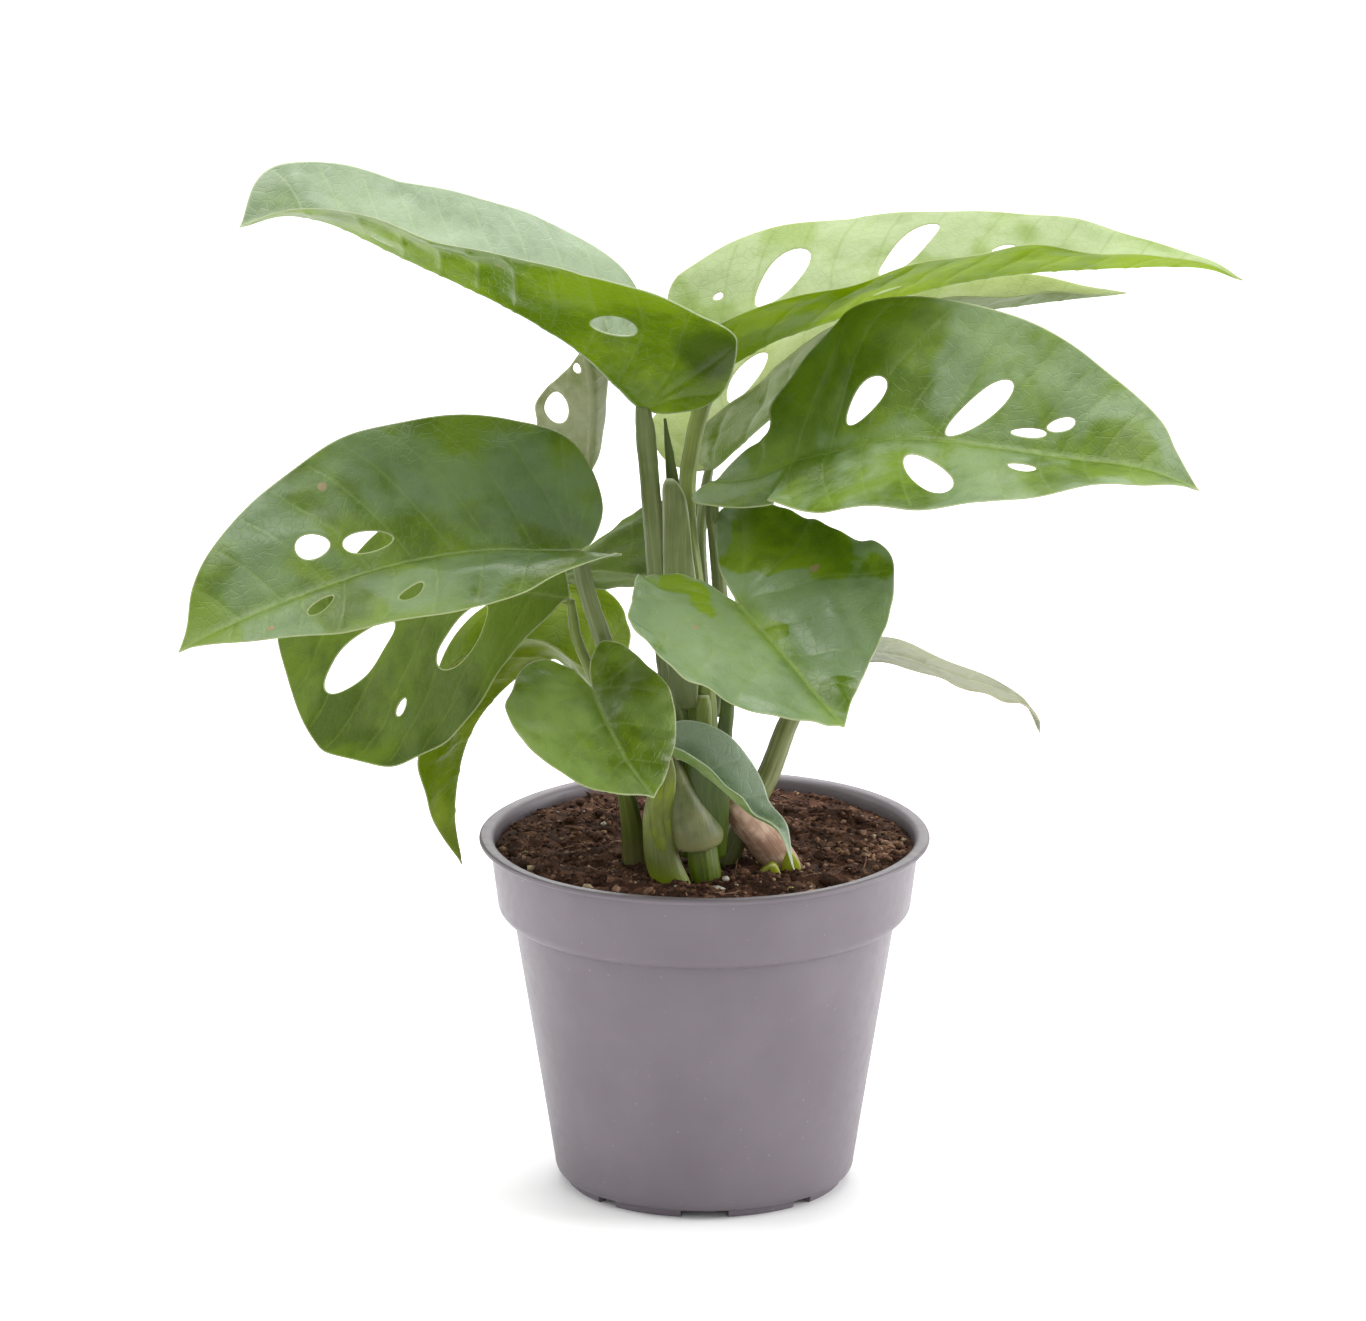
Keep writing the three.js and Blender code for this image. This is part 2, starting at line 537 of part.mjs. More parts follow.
const sheathOuter = stalk([vector(SHEATH.foot), vector(SHEATH.top)], SHEATH.outer);
let sheath = sheathOuter.body;
for (const inner of [mainStem, ...petioles, oldStem]) sheath = sheath.subtract(inner.space);
const driedSheath = stalk(DRIED_SHEATH.path.map(vector), DRIED_SHEATH.radius);
givesWay([mainStem, ...petioles, driedSheath]);
let spear = straightTaper(SPEAR);
for (const neighbour of [mainStem, ...petioles]) spear = spear.subtract(neighbour.space);

plant.add(piece('pot', toGeometry(pot()), COLOURS.pot, 0.45));
const planted = [mainStem, oldStem, oldStub, ...petioles];
plant.add(piece('soil', toGeometry(soil(planted)), COLOURS.soil, 0.95));
plant.add(piece('main_stem', toGeometry(mainStem.body), COLOURS.stem, 0.5));
plant.add(piece('stem_sheath', toGeometry(sheath), COLOURS.sheath, 0.6));
plant.add(piece('dried_sheath', toGeometry(driedSheath.body), COLOURS.leafPale, 0.7));
plant.add(piece('old_stem', toGeometry(oldStem.body), COLOURS.wood, 0.8));
plant.add(piece('old_petiole_stub', toGeometry(oldStub.body), COLOURS.stub, 0.6));
plant.add(piece('spear', toGeometry(spear), COLOURS.leafYoung, 0.45));
for (const { name, body } of petioles) {
  plant.add(piece(`petiole_${name}`, toGeometry(body), COLOURS.petiole, 0.5));
}
for (const name of Object.keys(BLADES)) {
  plant.add(piece(`blade_${name}`, toGeometry(bladeSolid(name)), COLOURS.leaf, 0.45));
}

export default plant;
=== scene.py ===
"""Looks of a potted swiss cheese vine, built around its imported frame.

Lengths in the classes are millimetres, as a grower or a pot maker would give them. Meshes are
turned to metres when they are made, in the frame's own axes: +Z up, +Y away from the front.
"""

import logging
import math
from dataclasses import dataclass, field
from enum import Enum
from functools import partial
from typing import Callable, ClassVar, Iterable, Sequence

import bpy
import numpy as np
from mathutils import Matrix, Vector
from mathutils.geometry import delaunay_2d_cdt


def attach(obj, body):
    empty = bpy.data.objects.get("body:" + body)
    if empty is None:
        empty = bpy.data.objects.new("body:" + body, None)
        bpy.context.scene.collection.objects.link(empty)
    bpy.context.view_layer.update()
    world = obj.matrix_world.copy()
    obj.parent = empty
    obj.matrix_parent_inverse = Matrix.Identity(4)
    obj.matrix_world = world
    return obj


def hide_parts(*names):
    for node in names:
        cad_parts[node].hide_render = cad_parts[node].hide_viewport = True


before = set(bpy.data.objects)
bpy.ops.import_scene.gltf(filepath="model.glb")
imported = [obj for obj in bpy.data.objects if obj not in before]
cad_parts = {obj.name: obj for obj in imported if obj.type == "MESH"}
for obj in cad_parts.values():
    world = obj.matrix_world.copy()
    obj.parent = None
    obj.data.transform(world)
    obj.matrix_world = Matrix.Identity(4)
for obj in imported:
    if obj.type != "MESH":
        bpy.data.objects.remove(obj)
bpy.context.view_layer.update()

log = logging.getLogger("vine")

MM = 0.001

Socket = bpy.types.NodeSocket
Place = tuple[float, float, float]
Points = np.ndarray
Faces = list[tuple[int, ...]]


# Curves and noise


def catmull_rom(points: Sequence[Sequence[float]], per_span: int) -> Points:
    """Samples a smooth curve through points.

    Args:
        points: Through-points, in any number of dimensions.
        per_span: Samples on each stretch between two points.

    Returns:
        The samples, from the first point to the last.
    """
    knots = np.asarray(points, float)
    padded = np.vstack([2 * knots[0] - knots[1], knots, 2 * knots[-1] - knots[-2]])
    steps = np.linspace(0, 1, per_span, endpoint=False)[:, None]
    spans = []
    for a, b, c, d in zip(padded, padded[1:], padded[2:], padded[3:]):
        cubic = (2 * b) + (c - a) * steps + (2 * a - 5 * b + 4 * c - d) * steps**2
        spans.append((cubic + (3 * b - a - 3 * c + d) * steps**3) / 2)
    return np.vstack([*spans, knots[-1:]])


def arc_lengths(curve: Points) -> Points:
    """Returns the distance along a sampled curve at each of its samples."""
    return np.concatenate([[0.0], np.cumsum(np.linalg.norm(np.diff(curve, axis=0), axis=1))])


def at_lengths(curve: Points, lengths: Points) -> Points:
    """Returns the points of a sampled curve at distances along it."""
    measured = arc_lengths(curve)
    return np.stack([np.interp(lengths, measured, axis) for axis in curve.T], axis=-1)


def spaced(curve: Points, step: float) -> Points:
    """Returns a sampled curve again with its samples about step apart."""
    total = arc_lengths(curve)[-1]
    return at_lengths(curve, np.linspace(0, total, max(2, round(total / step) + 1)))


def unit(vectors: Points) -> Points:
    """Returns vectors at length one."""
    return vectors / np.linalg.norm(vectors, axis=-1, keepdims=True)


def smooth(value: Points) -> Points:
    """Returns an eased step from 0 to 1 as value goes from 0 to 1."""
    clipped = np.clip(value, 0, 1)
    return clipped * clipped * (3 - 2 * clipped)


def bump_at(distance: Points, width: float) -> Points:
    """Returns a rounded bump of height 1 at distance 0 that is gone at about twice the width."""
    return np.exp(-((distance / width) ** 2))


def waves(places: Points, length: float, seed: int, count: int = 6) -> Points:
    """Returns soft pseudo-random waves between about -1 and 1.

    Args:
        places: Where to read them, one row a place.
        length: Typical wave length, in the units of places.
        seed: Seed of the directions and phases.
        count: How many waves are added.

    Returns:
        One value a place.
    """
    draw = np.random.default_rng(seed)
    directions = unit(draw.normal(size=(count, places.shape[1])))
    rates = 2 * math.pi / (length * draw.uniform(0.7, 1.5, count))
    phases = draw.uniform(0, 2 * math.pi, count)
    return np.sin(places @ (directions.T * rates) + phases).sum(axis=1) / math.sqrt(count)


def distance_to_lines(places: Points, starts: Points, ends: Points) -> Points:
    """Returns the distance from each place to the nearest of many straight segments."""
    along = ends - starts
    squared = np.maximum((along**2).sum(axis=1), 1e-12)
    nearest = np.full(len(places), np.inf)
    for start, direction, length in zip(starts, along, squared):
        share = np.clip((places - start) @ direction / length, 0, 1)
        gaps = places - start - share[:, None] * direction
        nearest = np.minimum(nearest, np.einsum("ij,ij->i", gaps, gaps))
    return np.sqrt(nearest)


def inside(places: Points, loop: Points) -> Points:
    """Returns which flat places lie inside a closed loop of points."""
    x, y = places[:, 0], places[:, 1]
    hits = np.zeros(len(places), bool)
    for (ax, ay), (bx, by) in zip(loop, np.roll(loop, -1, axis=0)):
        crosses = (ay > y) != (by > y)
        if by != ay:
            hits ^= crosses & (x < (bx - ax) * (y - ay) / (by - ay) + ax)
    return hits


# Meshes and materials


def placed(name: str, data: bpy.types.ID) -> bpy.types.Object:
    """Makes an object of a mesh, a lamp or a camera, puts it in the scene and returns it."""
    made = bpy.data.objects.new(name, data)
    bpy.context.scene.collection.objects.link(made)
    return made


def make_piece(name: str, points: Points, faces: Faces, slot: str,
               replaced: Sequence[str] = ()) -> bpy.types.Object:
    """Makes a smooth-shaded piece that rides on the plant's one body.

    Args:
        name: Name of the piece.
        points: Corner points in millimetres.
        faces: Corner numbers of each face.
        slot: The record's material slot for the piece; not used.
        replaced: CAD nodes that the piece stands for.

    Returns:
        The new object.
    """
    mesh = bpy.data.meshes.new(name)
    mesh.from_pydata((np.asarray(points) * MM).tolist(), [], faces)
    mesh.shade_smooth()
    piece = placed(name, mesh)
    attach(piece, "root")
    if replaced:
        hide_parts(*replaced)
    return piece


def store(piece: bpy.types.Object, name: str, values: Points) -> None:
    """Stores a number or a vector at every point of a piece, for its material to read."""
    kind = "FLOAT" if values.ndim == 1 else "FLOAT_VECTOR"
    attribute = piece.data.attributes.new(name, kind, "POINT")
    attribute.data.foreach_set("value" if values.ndim == 1 else "vector", values.astype(np.float32).ravel())


def linear(colour: str) -> tuple[float, float, float, float]:
    """Returns an sRGB hex colour as linear red, green, blue and alpha."""
    parts = [int(colour[i : i + 2], 16) / 255 for i in (1, 3, 5)]
    lit = [part / 12.92 if part <= 0.04045 else ((part + 0.055) / 1.055) ** 2.4 for part in parts]
    return (*lit, 1.0)


@dataclass(frozen=True)
class Kind:
    """A kind of node as the finishes use it.

    Attributes:
        blender: Blender's name of the node type.
        inputs: The inputs that are given, in the order they are given in.
        output: The output that is used.
        settings: Properties that the node always gets.
    """

    blender: str
    inputs: tuple[str | int, ...] = ()
    output: str | int = 0
    settings: tuple[tuple[str, str], ...] = ()


class Step(Enum):
    """The kinds of node that the finishes are made of."""

    VALUE = Kind("ShaderNodeAttribute", output="Fac")
    PLACE = Kind("ShaderNodeAttribute", output="Vector")
    LOCAL = Kind("ShaderNodeTexCoord", output="Object")
    NOISE = Kind("ShaderNodeTexNoise", ("Vector", "Scale", "Detail"), "Fac")
    NET = Kind("ShaderNodeTexVoronoi", ("Vector", "Scale"), "Distance", (("feature", "DISTANCE_TO_EDGE"),))
    EASE = Kind("ShaderNodeMapRange", ("Value", "From Min", "From Max", "To Min", "To Max"), "Result",
                (("interpolation_type", "SMOOTHSTEP"),))
    TIMES = Kind("ShaderNodeMath", (0, 1), 0, (("operation", "MULTIPLY"),))
    TIMES_ADD = Kind("ShaderNodeMath", (0, 1, 2), 0, (("operation", "MULTIPLY_ADD"),))
    LARGER = Kind("ShaderNodeMath", (0, 1), 0, (("operation", "MAXIMUM"),))
    BLEND = Kind("ShaderNodeMix", (0, 6, 7), 2, (("data_type", "RGBA"),))
    RAMP = Kind("ShaderNodeValToRGB", ("Fac",), "Color")
    BUMP = Kind("ShaderNodeBump", ("Height", "Distance"), "Normal")
    SURFACE = Kind("ShaderNodeBsdfPrincipled", ("Base Color", "Roughness", "Normal", "IOR",
                                                "Specular IOR Level", "Coat Weight", "Coat Roughness"))
    THROUGH = Kind("ShaderNodeBsdfTranslucent", ("Color",))
    BOTH = Kind("ShaderNodeMixShader", (0, 1, 2))
    SKY = Kind("ShaderNodeBackground", ("Color", "Strength"))
    MATERIAL_END = Kind("ShaderNodeOutputMaterial", ("Surface",))
    WORLD_END = Kind("ShaderNodeOutputWorld", ("Surface",))


def add_node(tree: bpy.types.NodeTree, step: Step, *values: object,
             **settings: object) -> Socket | None:
    """Adds a node with its settings and links.

    Args:
        tree: The tree that gets the node.
        step: The kind of node.
        *values: Output sockets, numbers or sRGB hex colours for the kind's inputs, in their order.
        **settings: Properties of this one node.

    Returns:
        The output that the kind is used for, or None from an end node.
    """
    kind = step.value
    node = tree.nodes.new(kind.blender)
    for key, value in (*kind.settings, *settings.items()):
        setattr(node, key, value)
    for name, value in zip(kind.inputs, values):
        if isinstance(value, Socket):
            tree.links.new(value, node.inputs[name])
        else:
            node.inputs[name].default_value = linear(value) if isinstance(value, str) else value
    return node.outputs[kind.output] if node.outputs else None


# Finishes


@dataclass(frozen=True)
class Finish:
    """What a piece wears: a material's name and the nodes that make its surface."""

    name: str

    def material(self) -> bpy.types.Material:
        """Makes the finish's material and returns it."""
        material = bpy.data.materials.new(self.name)
        material.use_nodes = True
        material.node_tree.nodes.clear()
        add = partial(add_node, material.node_tree)
        add(Step.MATERIAL_END, self.surface(add))
        return material

    def surface(self, add: Callable[..., Socket]) -> Socket:
        """Adds the surface's nodes with the function that is given, and returns the last output."""
        raise NotImplementedError


class Dressed:
    """A piece of the object that wears one finish."""

    finish: Finish

    def dress(self, piece: bpy.types.Object) -> None:
        """Gives the piece its finish."""
        piece.data.materials.append(self.finish.material())


@dataclass(frozen=True)
class LeafFinish(Finish):
    """Living Monstera leaf, grown smooth and waxed above, duller below.

    The eye gets a deep yellow green with a whitish painted sheen between the side veins, a painted
    reflection laid on as colour; a soft waxy shine, a thin pale margin, and a yellow-green glow on the side
    away from the light.

    Attributes:
        name: The material's name.
        deep: Darkest green of the upper face.
        bright: Brightest green of the upper face.
        painted_sheen: Painted reflection: the whitish sheen laid on the upper face as colour.
        painted_sheen_share: How much the painted sheen covers where it lies.
        painted_sheen_from: Where in the clouds, from 0 to 1, the painted sheen starts; less gives more of it.
        painted_sheen_soft: How slowly it then fades in.
        under_deep: Darkest green of the lower face.
        under_bright: Brightest green of the lower face.
        vein: The midrib and the side veins.
        margin: The thin line along every edge.
        scar: Dried brown spots.
        painted_shade: Painted shade: a darker green laid over a lobe that is bent over.
        glow: The light that comes through.
        glow_share: How much light comes through.
        roughness: Roughness of the wax.
        wax: Weight of the clear wax over the green.
        shine: Strength of the leaf's own mirror, 0.5 being a plain clear skin.
    """

    deep: str = "#485e0a"
    bright: str = "#667e18"
    painted_sheen: str = "#87997a"
    painted_sheen_share: float = 0.62
    painted_sheen_from: float = 0.43
    painted_sheen_soft: float = 0.16
    under_deep: str = "#4f6608"
    under_bright: str = "#6e8628"
    vein: str = "#7f9452"
    margin: str = "#b4ba8c"
    scar: str = "#927a5c"
    painted_shade: str = "#34450e"
    glow: str = "#86a814"
    glow_share: float = 0.3
    roughness: float = 0.36
    wax: float = 0.3
    shine: float = 0.3

    cloud_size: ClassVar[float] = 24.0
    patch_size: ClassVar[float] = 26.0
    fleck_size: ClassVar[float] = 4.0
    net_size: ClassVar[float] = 2.6
    dent_depth: ClassVar[float] = 0.16

    def surface(self, add: Callable[..., Socket]) -> Socket:
        """Adds the surface's nodes and returns the last output."""
        places = add(Step.PLACE, attribute_name="flat")
        vein, rib, edge, upper, scar, painted_shade, clear = (
            add(Step.VALUE, attribute_name=name)
            for name in ("vein", "rib", "edge", "upper", "scar", "painted_shade", "clear"))
        flecks = add(Step.NOISE, places, 1 / self.fleck_size, 4.0)
        net = add(Step.EASE, add(Step.NET, places, 1 / self.net_size), 0.0, 0.09, 0.1, 0.0)
        seen = add(Step.TIMES_ADD, upper, 0.22, 0.08)
        side_veins = add(Step.TIMES, seen, add(Step.EASE, vein, 0.0, 0.7, 1.0, 0.0))
        midrib = add(Step.EASE, rib, 0.2, 1.1, 0.7, 0.0)
        lines = add(Step.LARGER, add(Step.LARGER, side_veins, midrib), net)
        clouds = add(Step.NOISE, places, 1 / self.cloud_size, 3.0)
        mottle = add(Step.EASE, add(Step.TIMES_ADD, flecks, 0.3, clouds), 0.52, 0.78, 0.0, 1.0)
        fresh = add(Step.BLEND, mottle, self.deep, self.bright)
        # Painted sheen: a whitish painted reflection goes on the upper face in patches between the side veins
        # and away from the midrib, broken up by the flecks.
        panel = add(Step.TIMES_ADD, add(Step.EASE, vein, 0.4, 4.5, 0.0, 1.0), 0.04,
                    add(Step.NOISE, places, 1 / self.patch_size, 4.0))
        # The clear spots hold off the painted sheen.
        sheen_field = add(Step.TIMES_ADD, clear, -0.5, panel)
        away = add(Step.EASE, rib, 0.5, 6.0, 0.3, 1.0)
        full_from = self.painted_sheen_from + self.painted_sheen_soft
        sheen_patches = add(Step.TIMES, away, add(Step.EASE, sheen_field, self.painted_sheen_from, full_from, 0.0, 1.0))
        thin = 0.7 * self.painted_sheen_share
        sheen_cover = add(Step.TIMES, sheen_patches, add(Step.EASE, flecks, 0.2, 0.6, thin, self.painted_sheen_share))
        above = add(Step.BLEND, sheen_cover, fresh, self.painted_sheen)
        below = add(Step.BLEND, mottle, self.under_deep, self.under_bright)
        face = add(Step.BLEND, lines, add(Step.BLEND, upper, below, above), self.vein)
        # Painted shade: the darker green goes where the shade spots lie.
        with_painted_shade = add(Step.BLEND, add(Step.EASE, painted_shade, 0.1, 0.75, 0.0, 0.85), face, self.painted_shade)
        dried = add(Step.BLEND, add(Step.EASE, add(Step.TIMES_ADD, flecks, 0.5, scar), 0.55, 0.8, 0.0, 0.9),
                    with_painted_shade, self.scar)
        colour = add(Step.BLEND, add(Step.EASE, edge, 0.1, 0.5, 0.7, 0.0), dried, self.margin)
        height = add(Step.TIMES_ADD, net, -4.0, flecks)
        normal = add(Step.BUMP, height, self.dent_depth * MM)
        roughness = add(Step.EASE, clouds, 0.3, 0.7, self.roughness - 0.06, self.roughness + 0.1)
        skin = add(Step.SURFACE, colour, roughness, normal, 1.45, self.shine, self.wax, 0.3)
        through = add(Step.THROUGH, add(Step.BLEND, lines, self.glow, self.vein))
        return add(Step.BOTH, self.glow_share, skin, through)


@dataclass(frozen=True)
class StalkFinish(Finish):
    """Smooth green stalk skin, grown.

    The eye gets fine lengthwise fibres, a darker foot, a pale thin rim on a sheath and a satin
    shine.

    Attributes:
        name: The material's name.
        base: Its green.
        light: The green of the fibres that stand out.
        foot: Its colour towards the soil and in blots.
        edge: The thin rim of a sheath.
        roughness: Roughness of the skin.
    """

    base: str = "#6c7a42"
    light: str = "#98a274"
    foot: str = "#55602c"
    edge: str = "#c6caa4"
    roughness: float = 0.42

    fibre_width: ClassVar[float] = 1.0
    blot_size: ClassVar[float] = 9.0
    fibre_depth: ClassVar[float] = 0.12

    def surface(self, add: Callable[..., Socket]) -> Socket:
        """Adds the surface's nodes and returns the last output."""
        fibres = add(Step.NOISE, add(Step.PLACE, attribute_name="around"), 1 / self.fibre_width, 3.0)
        blots = add(Step.NOISE, add(Step.PLACE, attribute_name="flat"), 1 / self.blot_size, 3.0)
        body = add(Step.BLEND, add(Step.EASE, fibres, 0.3, 0.75, 0.0, 0.6), self.base, self.light)
        body = add(Step.BLEND, add(Step.EASE, blots, 0.42, 0.7, 0.0, 0.45), body, self.foot)
        share = add(Step.VALUE, attribute_name="share")
        grown = add(Step.BLEND, add(Step.EASE, share, 0.0, 0.3, 0.85, 0.0), body, self.foot)
        colour = add(Step.BLEND, add(Step.VALUE, attribute_name="edge"), grown, self.edge)
        normal = add(Step.BUMP, add(Step.TIMES_ADD, blots, 0.5, fibres), self.fibre_depth * MM)
        skin = add(Step.SURFACE, colour, self.roughness, normal, 1.45, 0.4)
        return add(Step.BOTH, 0.1, skin, add(Step.THROUGH, colour))


@dataclass(frozen=True)
class PolypropyleneFinish(Finish):
    """Moulded grey polypropylene of a nursery pot.

    The eye gets a satin grey with faint flow clouds from the mould, pale specks and soft scuffs.

    Attributes:
        name: The material's name.
        grey: Its grey.
        light: The paler grey of the flow clouds.
        speck: The specks.
        roughness: Roughness of the satin.
    """

    name: str = "moulded_polypropylene"
    grey: str = "#625a61"
    light: str = "#716970"
    speck: str = "#a29aa1"
    roughness: float = 0.44

    cloud_size: ClassVar[float] = 30.0
    flow_size: ClassVar[float] = 6.0
    scuff_size: ClassVar[float] = 3.0
    speck_size: ClassVar[float] = 1.1
    grain_size: ClassVar[float] = 0.8
    grain_depth: ClassVar[float] = 0.02

    def surface(self, add: Callable[..., Socket]) -> Socket:
        """Adds the surface's nodes and returns the last output."""
        places = add(Step.PLACE, attribute_name="flat")
        clouds = add(Step.NOISE, places, 1 / self.cloud_size, 3.0)
        flow = add(Step.NOISE, add(Step.PLACE, attribute_name="around"), 1 / self.flow_size, 3.0)
        specks = add(Step.NOISE, places, 1 / self.speck_size, 2.0)
        scuffs = add(Step.NOISE, places, 1 / self.scuff_size, 5.0)
        body = add(Step.BLEND, add(Step.EASE, clouds, 0.3, 0.7, 0.0, 0.5), self.grey, self.light)
        body = add(Step.BLEND, add(Step.EASE, flow, 0.5, 0.8, 0.0, 0.15), body, self.light)
        colour = add(Step.BLEND, add(Step.EASE, specks, 0.71, 0.79, 0.0, 0.4), body, self.speck)
        roughness = add(Step.EASE, scuffs, 0.35, 0.75, self.roughness - 0.02, self.roughness + 0.05)
        grain = add(Step.NOISE, places, 1 / self.grain_size, 2.0)
        normal = add(Step.BUMP, grain, self.grain_depth * MM)
        return add(Step.SURFACE, colour, roughness, normal, 1.49, 0.5)


@dataclass(frozen=True)
class MixFinish(Finish):
    """Damp peat and bark potting mix, crumbled.

    The eye gets matt dark crumbs with pale grit, bark and fibres, and a near-black laid on in blots as
    painted shade for the gaps between them.

    Attributes:
        name: The material's name.
        tones: The colour of a crumb by its drawn number, each from a share on.
        gap: Painted shade: the near-black laid on in blots for the gaps between crumbs.
        roughness: Roughness of a crumb.
    """

    name: str = "crumbled_potting_mix"
    tones: tuple[tuple[float, str], ...] = (
        (0.0, "#432c22"), (0.3, "#634537"), (0.58, "#7d5b49"), (0.8, "#93705a"), (0.9, "#a88670"),
        (0.945, "#ab8c74"), (0.965, "#bda98c"), (0.978, "#a9a36a"), (0.985, "#c58a4c"), (0.992, "#d9d2c4"))
    gap: str = "#241914"
    roughness: float = 0.92

    blot_size: ClassVar[float] = 1.4
    crumb_size: ClassVar[float] = 0.7
    crumb_depth: ClassVar[float] = 0.5

    def surface(self, add: Callable[..., Socket]) -> Socket:
        """Adds the surface's nodes and returns the last output."""
        places = add(Step.PLACE, attribute_name="flat")
        grain = add(Step.RAMP, add(Step.VALUE, attribute_name="grain"))
        ramp = grain.node.color_ramp
        ramp.interpolation = "CONSTANT"
        while len(ramp.elements) < len(self.tones):
            ramp.elements.new(0.5)
        for stop, (share, tone) in zip(ramp.elements, self.tones):
            stop.position = share
            stop.color = linear(tone)
        blots = add(Step.NOISE, places, 1 / self.blot_size, 4.0)
        # Painted shade: blots of near-black stand for the gaps between crumbs.
        colour = add(Step.BLEND, add(Step.EASE, blots, 0.35, 0.7, 0.45, 0.0), grain, self.gap)
        crumbs = add(Step.NOISE, places, 1 / self.crumb_size, 4.0)
        normal = add(Step.BUMP, crumbs, self.crumb_depth * MM)
        return add(Step.SURFACE, colour, self.roughness, normal, 1.4, 0.2)


@dataclass(frozen=True)
class BarkFinish(Finish):
    """Corky skin of an old woody stem, or the paper of a dried sheath, grown.

    The eye gets a matt pinkish brown with pale blots and dark lengthwise wrinkles.

    Attributes:
        name: The material's name.
        base: Its brown.
        light: The pale blots.
        dark: The wrinkles.
        roughness: Roughness of the cork.
    """

    base: str = "#94725e"
    light: str = "#bda18c"
    dark: str = "#5c4030"
    roughness: float = 0.75

    wrinkle_width: ClassVar[float] = 1.6
    blot_size: ClassVar[float] = 4.0
    wrinkle_depth: ClassVar[float] = 0.4

    def surface(self, add: Callable[..., Socket]) -> Socket:
        """Adds the surface's nodes and returns the last output."""
        wrinkles = add(Step.NOISE, add(Step.PLACE, attribute_name="around"), 1 / self.wrinkle_width, 5.0)
        blots = add(Step.NOISE, add(Step.PLACE, attribute_name="flat"), 1 / self.blot_size, 4.0)
        body = add(Step.BLEND, add(Step.EASE, blots, 0.35, 0.68, 0.0, 1.0), self.base, self.light)
        colour = add(Step.BLEND, add(Step.EASE, wrinkles, 0.3, 0.52, 0.6, 0.0), body, self.dark)
        normal = add(Step.BUMP, add(Step.TIMES_ADD, blots, 0.5, wrinkles), self.wrinkle_depth * MM)
        return add(Step.SURFACE, colour, self.roughness, normal, 1.45, 0.4)


@dataclass(frozen=True)
class FloorFinish(Finish):
    """Matt white board under the plant, rolled: the eye gets an even white that only shadows mark.

    Attributes:
        name: The material's name.
        colour: Its white.
        cloud: The slightly darker white of faint clouds.
    """

    name: str = "matt_white_board"
    colour: str = "#fafafa"
    cloud: str = "#f6f6f5"

    cloud_size: ClassVar[float] = 50.0

    def surface(self, add: Callable[..., Socket]) -> Socket:
        """Adds the surface's nodes and returns the last output."""
        clouds = add(Step.NOISE, add(Step.LOCAL), 1 / (self.cloud_size * MM), 2.0)
        colour = add(Step.BLEND, add(Step.EASE, clouds, 0.3, 0.7, 0.0, 0.15), self.colour, self.cloud)
        return add(Step.SURFACE, colour, 0.9)


# Blades

FOLD_WIDTH = 2.6
VEIN_SLANT = 0.5
VEIN_SPACING = 12.0
MESH_STEP = 1.7
MARGIN_STEP = 1.0
VEIN_STEP = 1.3
MARGIN_ROWS = (0.45, 1.1)
RIB_ROWS = (0.7, 1.6)
VEIN_ROWS = (0.6, 1.5)
ROW_GAP = 0.42
FILL_GAP = 0.75
MARGIN_GAP = 0.35
FURTHEST_VEIN = 20.0
PATTERN_SHIFT = 173.0

ROUND_LOBE = ((0, 0), (-0.55, 0.1), (-1, 0.36), (-0.75, 0.64), (0, 0.86), (0.14, 0.98), (0.3, 1))


class Outline(Enum):
    """Half outlines of a blade, from the sinus round the lobe to the tip.

    Each pair is a share of the lobe's reach (behind the joint) or of the midrib's length (ahead of
    it), and a share of the half width.
    """

    HEART = ((0, 0), (-0.6, 0.12), (-1, 0.36), (-0.7, 0.66), (0.02, 0.92), (0.13, 1), (0.29, 0.99),
             (0.5, 0.86), (0.69, 0.63), (0.83, 0.38), (0.925, 0.16), (1, 0))
    OVATE = (*ROUND_LOBE, (0.5, 0.87), (0.69, 0.63), (0.83, 0.38), (0.925, 0.16), (1, 0))
    BLUNT = (*ROUND_LOBE, (0.45, 0.88), (0.6, 0.72), (0.75, 0.57), (0.86, 0.45), (0.93, 0.33), (1, 0))
    FULL = (*ROUND_LOBE, (0.5, 0.93), (0.68, 0.76), (0.82, 0.55), (0.9, 0.36), (0.955, 0.14), (1, 0))
    BROAD_TIP = (*ROUND_LOBE, (0.5, 0.91), (0.69, 0.7), (0.83, 0.46), (0.925, 0.22), (1, 0))
    TAPERED = (*ROUND_LOBE, (0.5, 0.8), (0.69, 0.5), (0.83, 0.28), (0.925, 0.12), (1, 0))
    EARED = ((0, 0), (0.03, 0.14), (0.065, 0.24), (0.1, 0.27), (0.128, 0.29), (0.138, 0.35), (0.142, 0.46),
             (0.165, 0.6), (0.2, 0.8), (0.27, 0.96), (0.39, 1), (0.55, 0.94), (0.68, 0.8), (0.8, 0.6),
             (0.88, 0.4), (0.93, 0.2), (1, 0))
    NARROW_FOOT = ((0, 0), (-0.6, 0.08), (-1, 0.2), (-0.6, 0.3), (0.06, 0.4), (0.12, 0.5), (0.2, 0.68),
                   (0.3, 0.9), (0.4, 1), (0.5, 0.99), (0.58, 0.93), (0.73, 0.76), (0.85, 0.55),
                   (0.915, 0.36), (0.96, 0.14), (1, 0))
    DROOPED = ((0, 0), (0.07, 0.27), (0.21, 0.66), (0.31, 0.87), (0.42, 0.96), (0.54, 1), (0.66, 0.91),
               (0.79, 0.79), (0.9, 0.48), (1, 0))
    WEDGE = ((0, 0), (0.1, 0.19), (0.2, 0.38), (0.3, 0.58), (0.42, 0.82), (0.54, 1), (0.66, 0.97),
             (0.79, 0.82), (0.9, 0.5), (1, 0))
    SLIM = ((0, 0), (-0.5, 0.15), (-1, 0.45), (-0.5, 0.75), (0.05, 0.9), (0.2, 1), (0.4, 0.9),
            (0.6, 0.56), (0.78, 0.24), (0.9, 0.1), (1, 0))


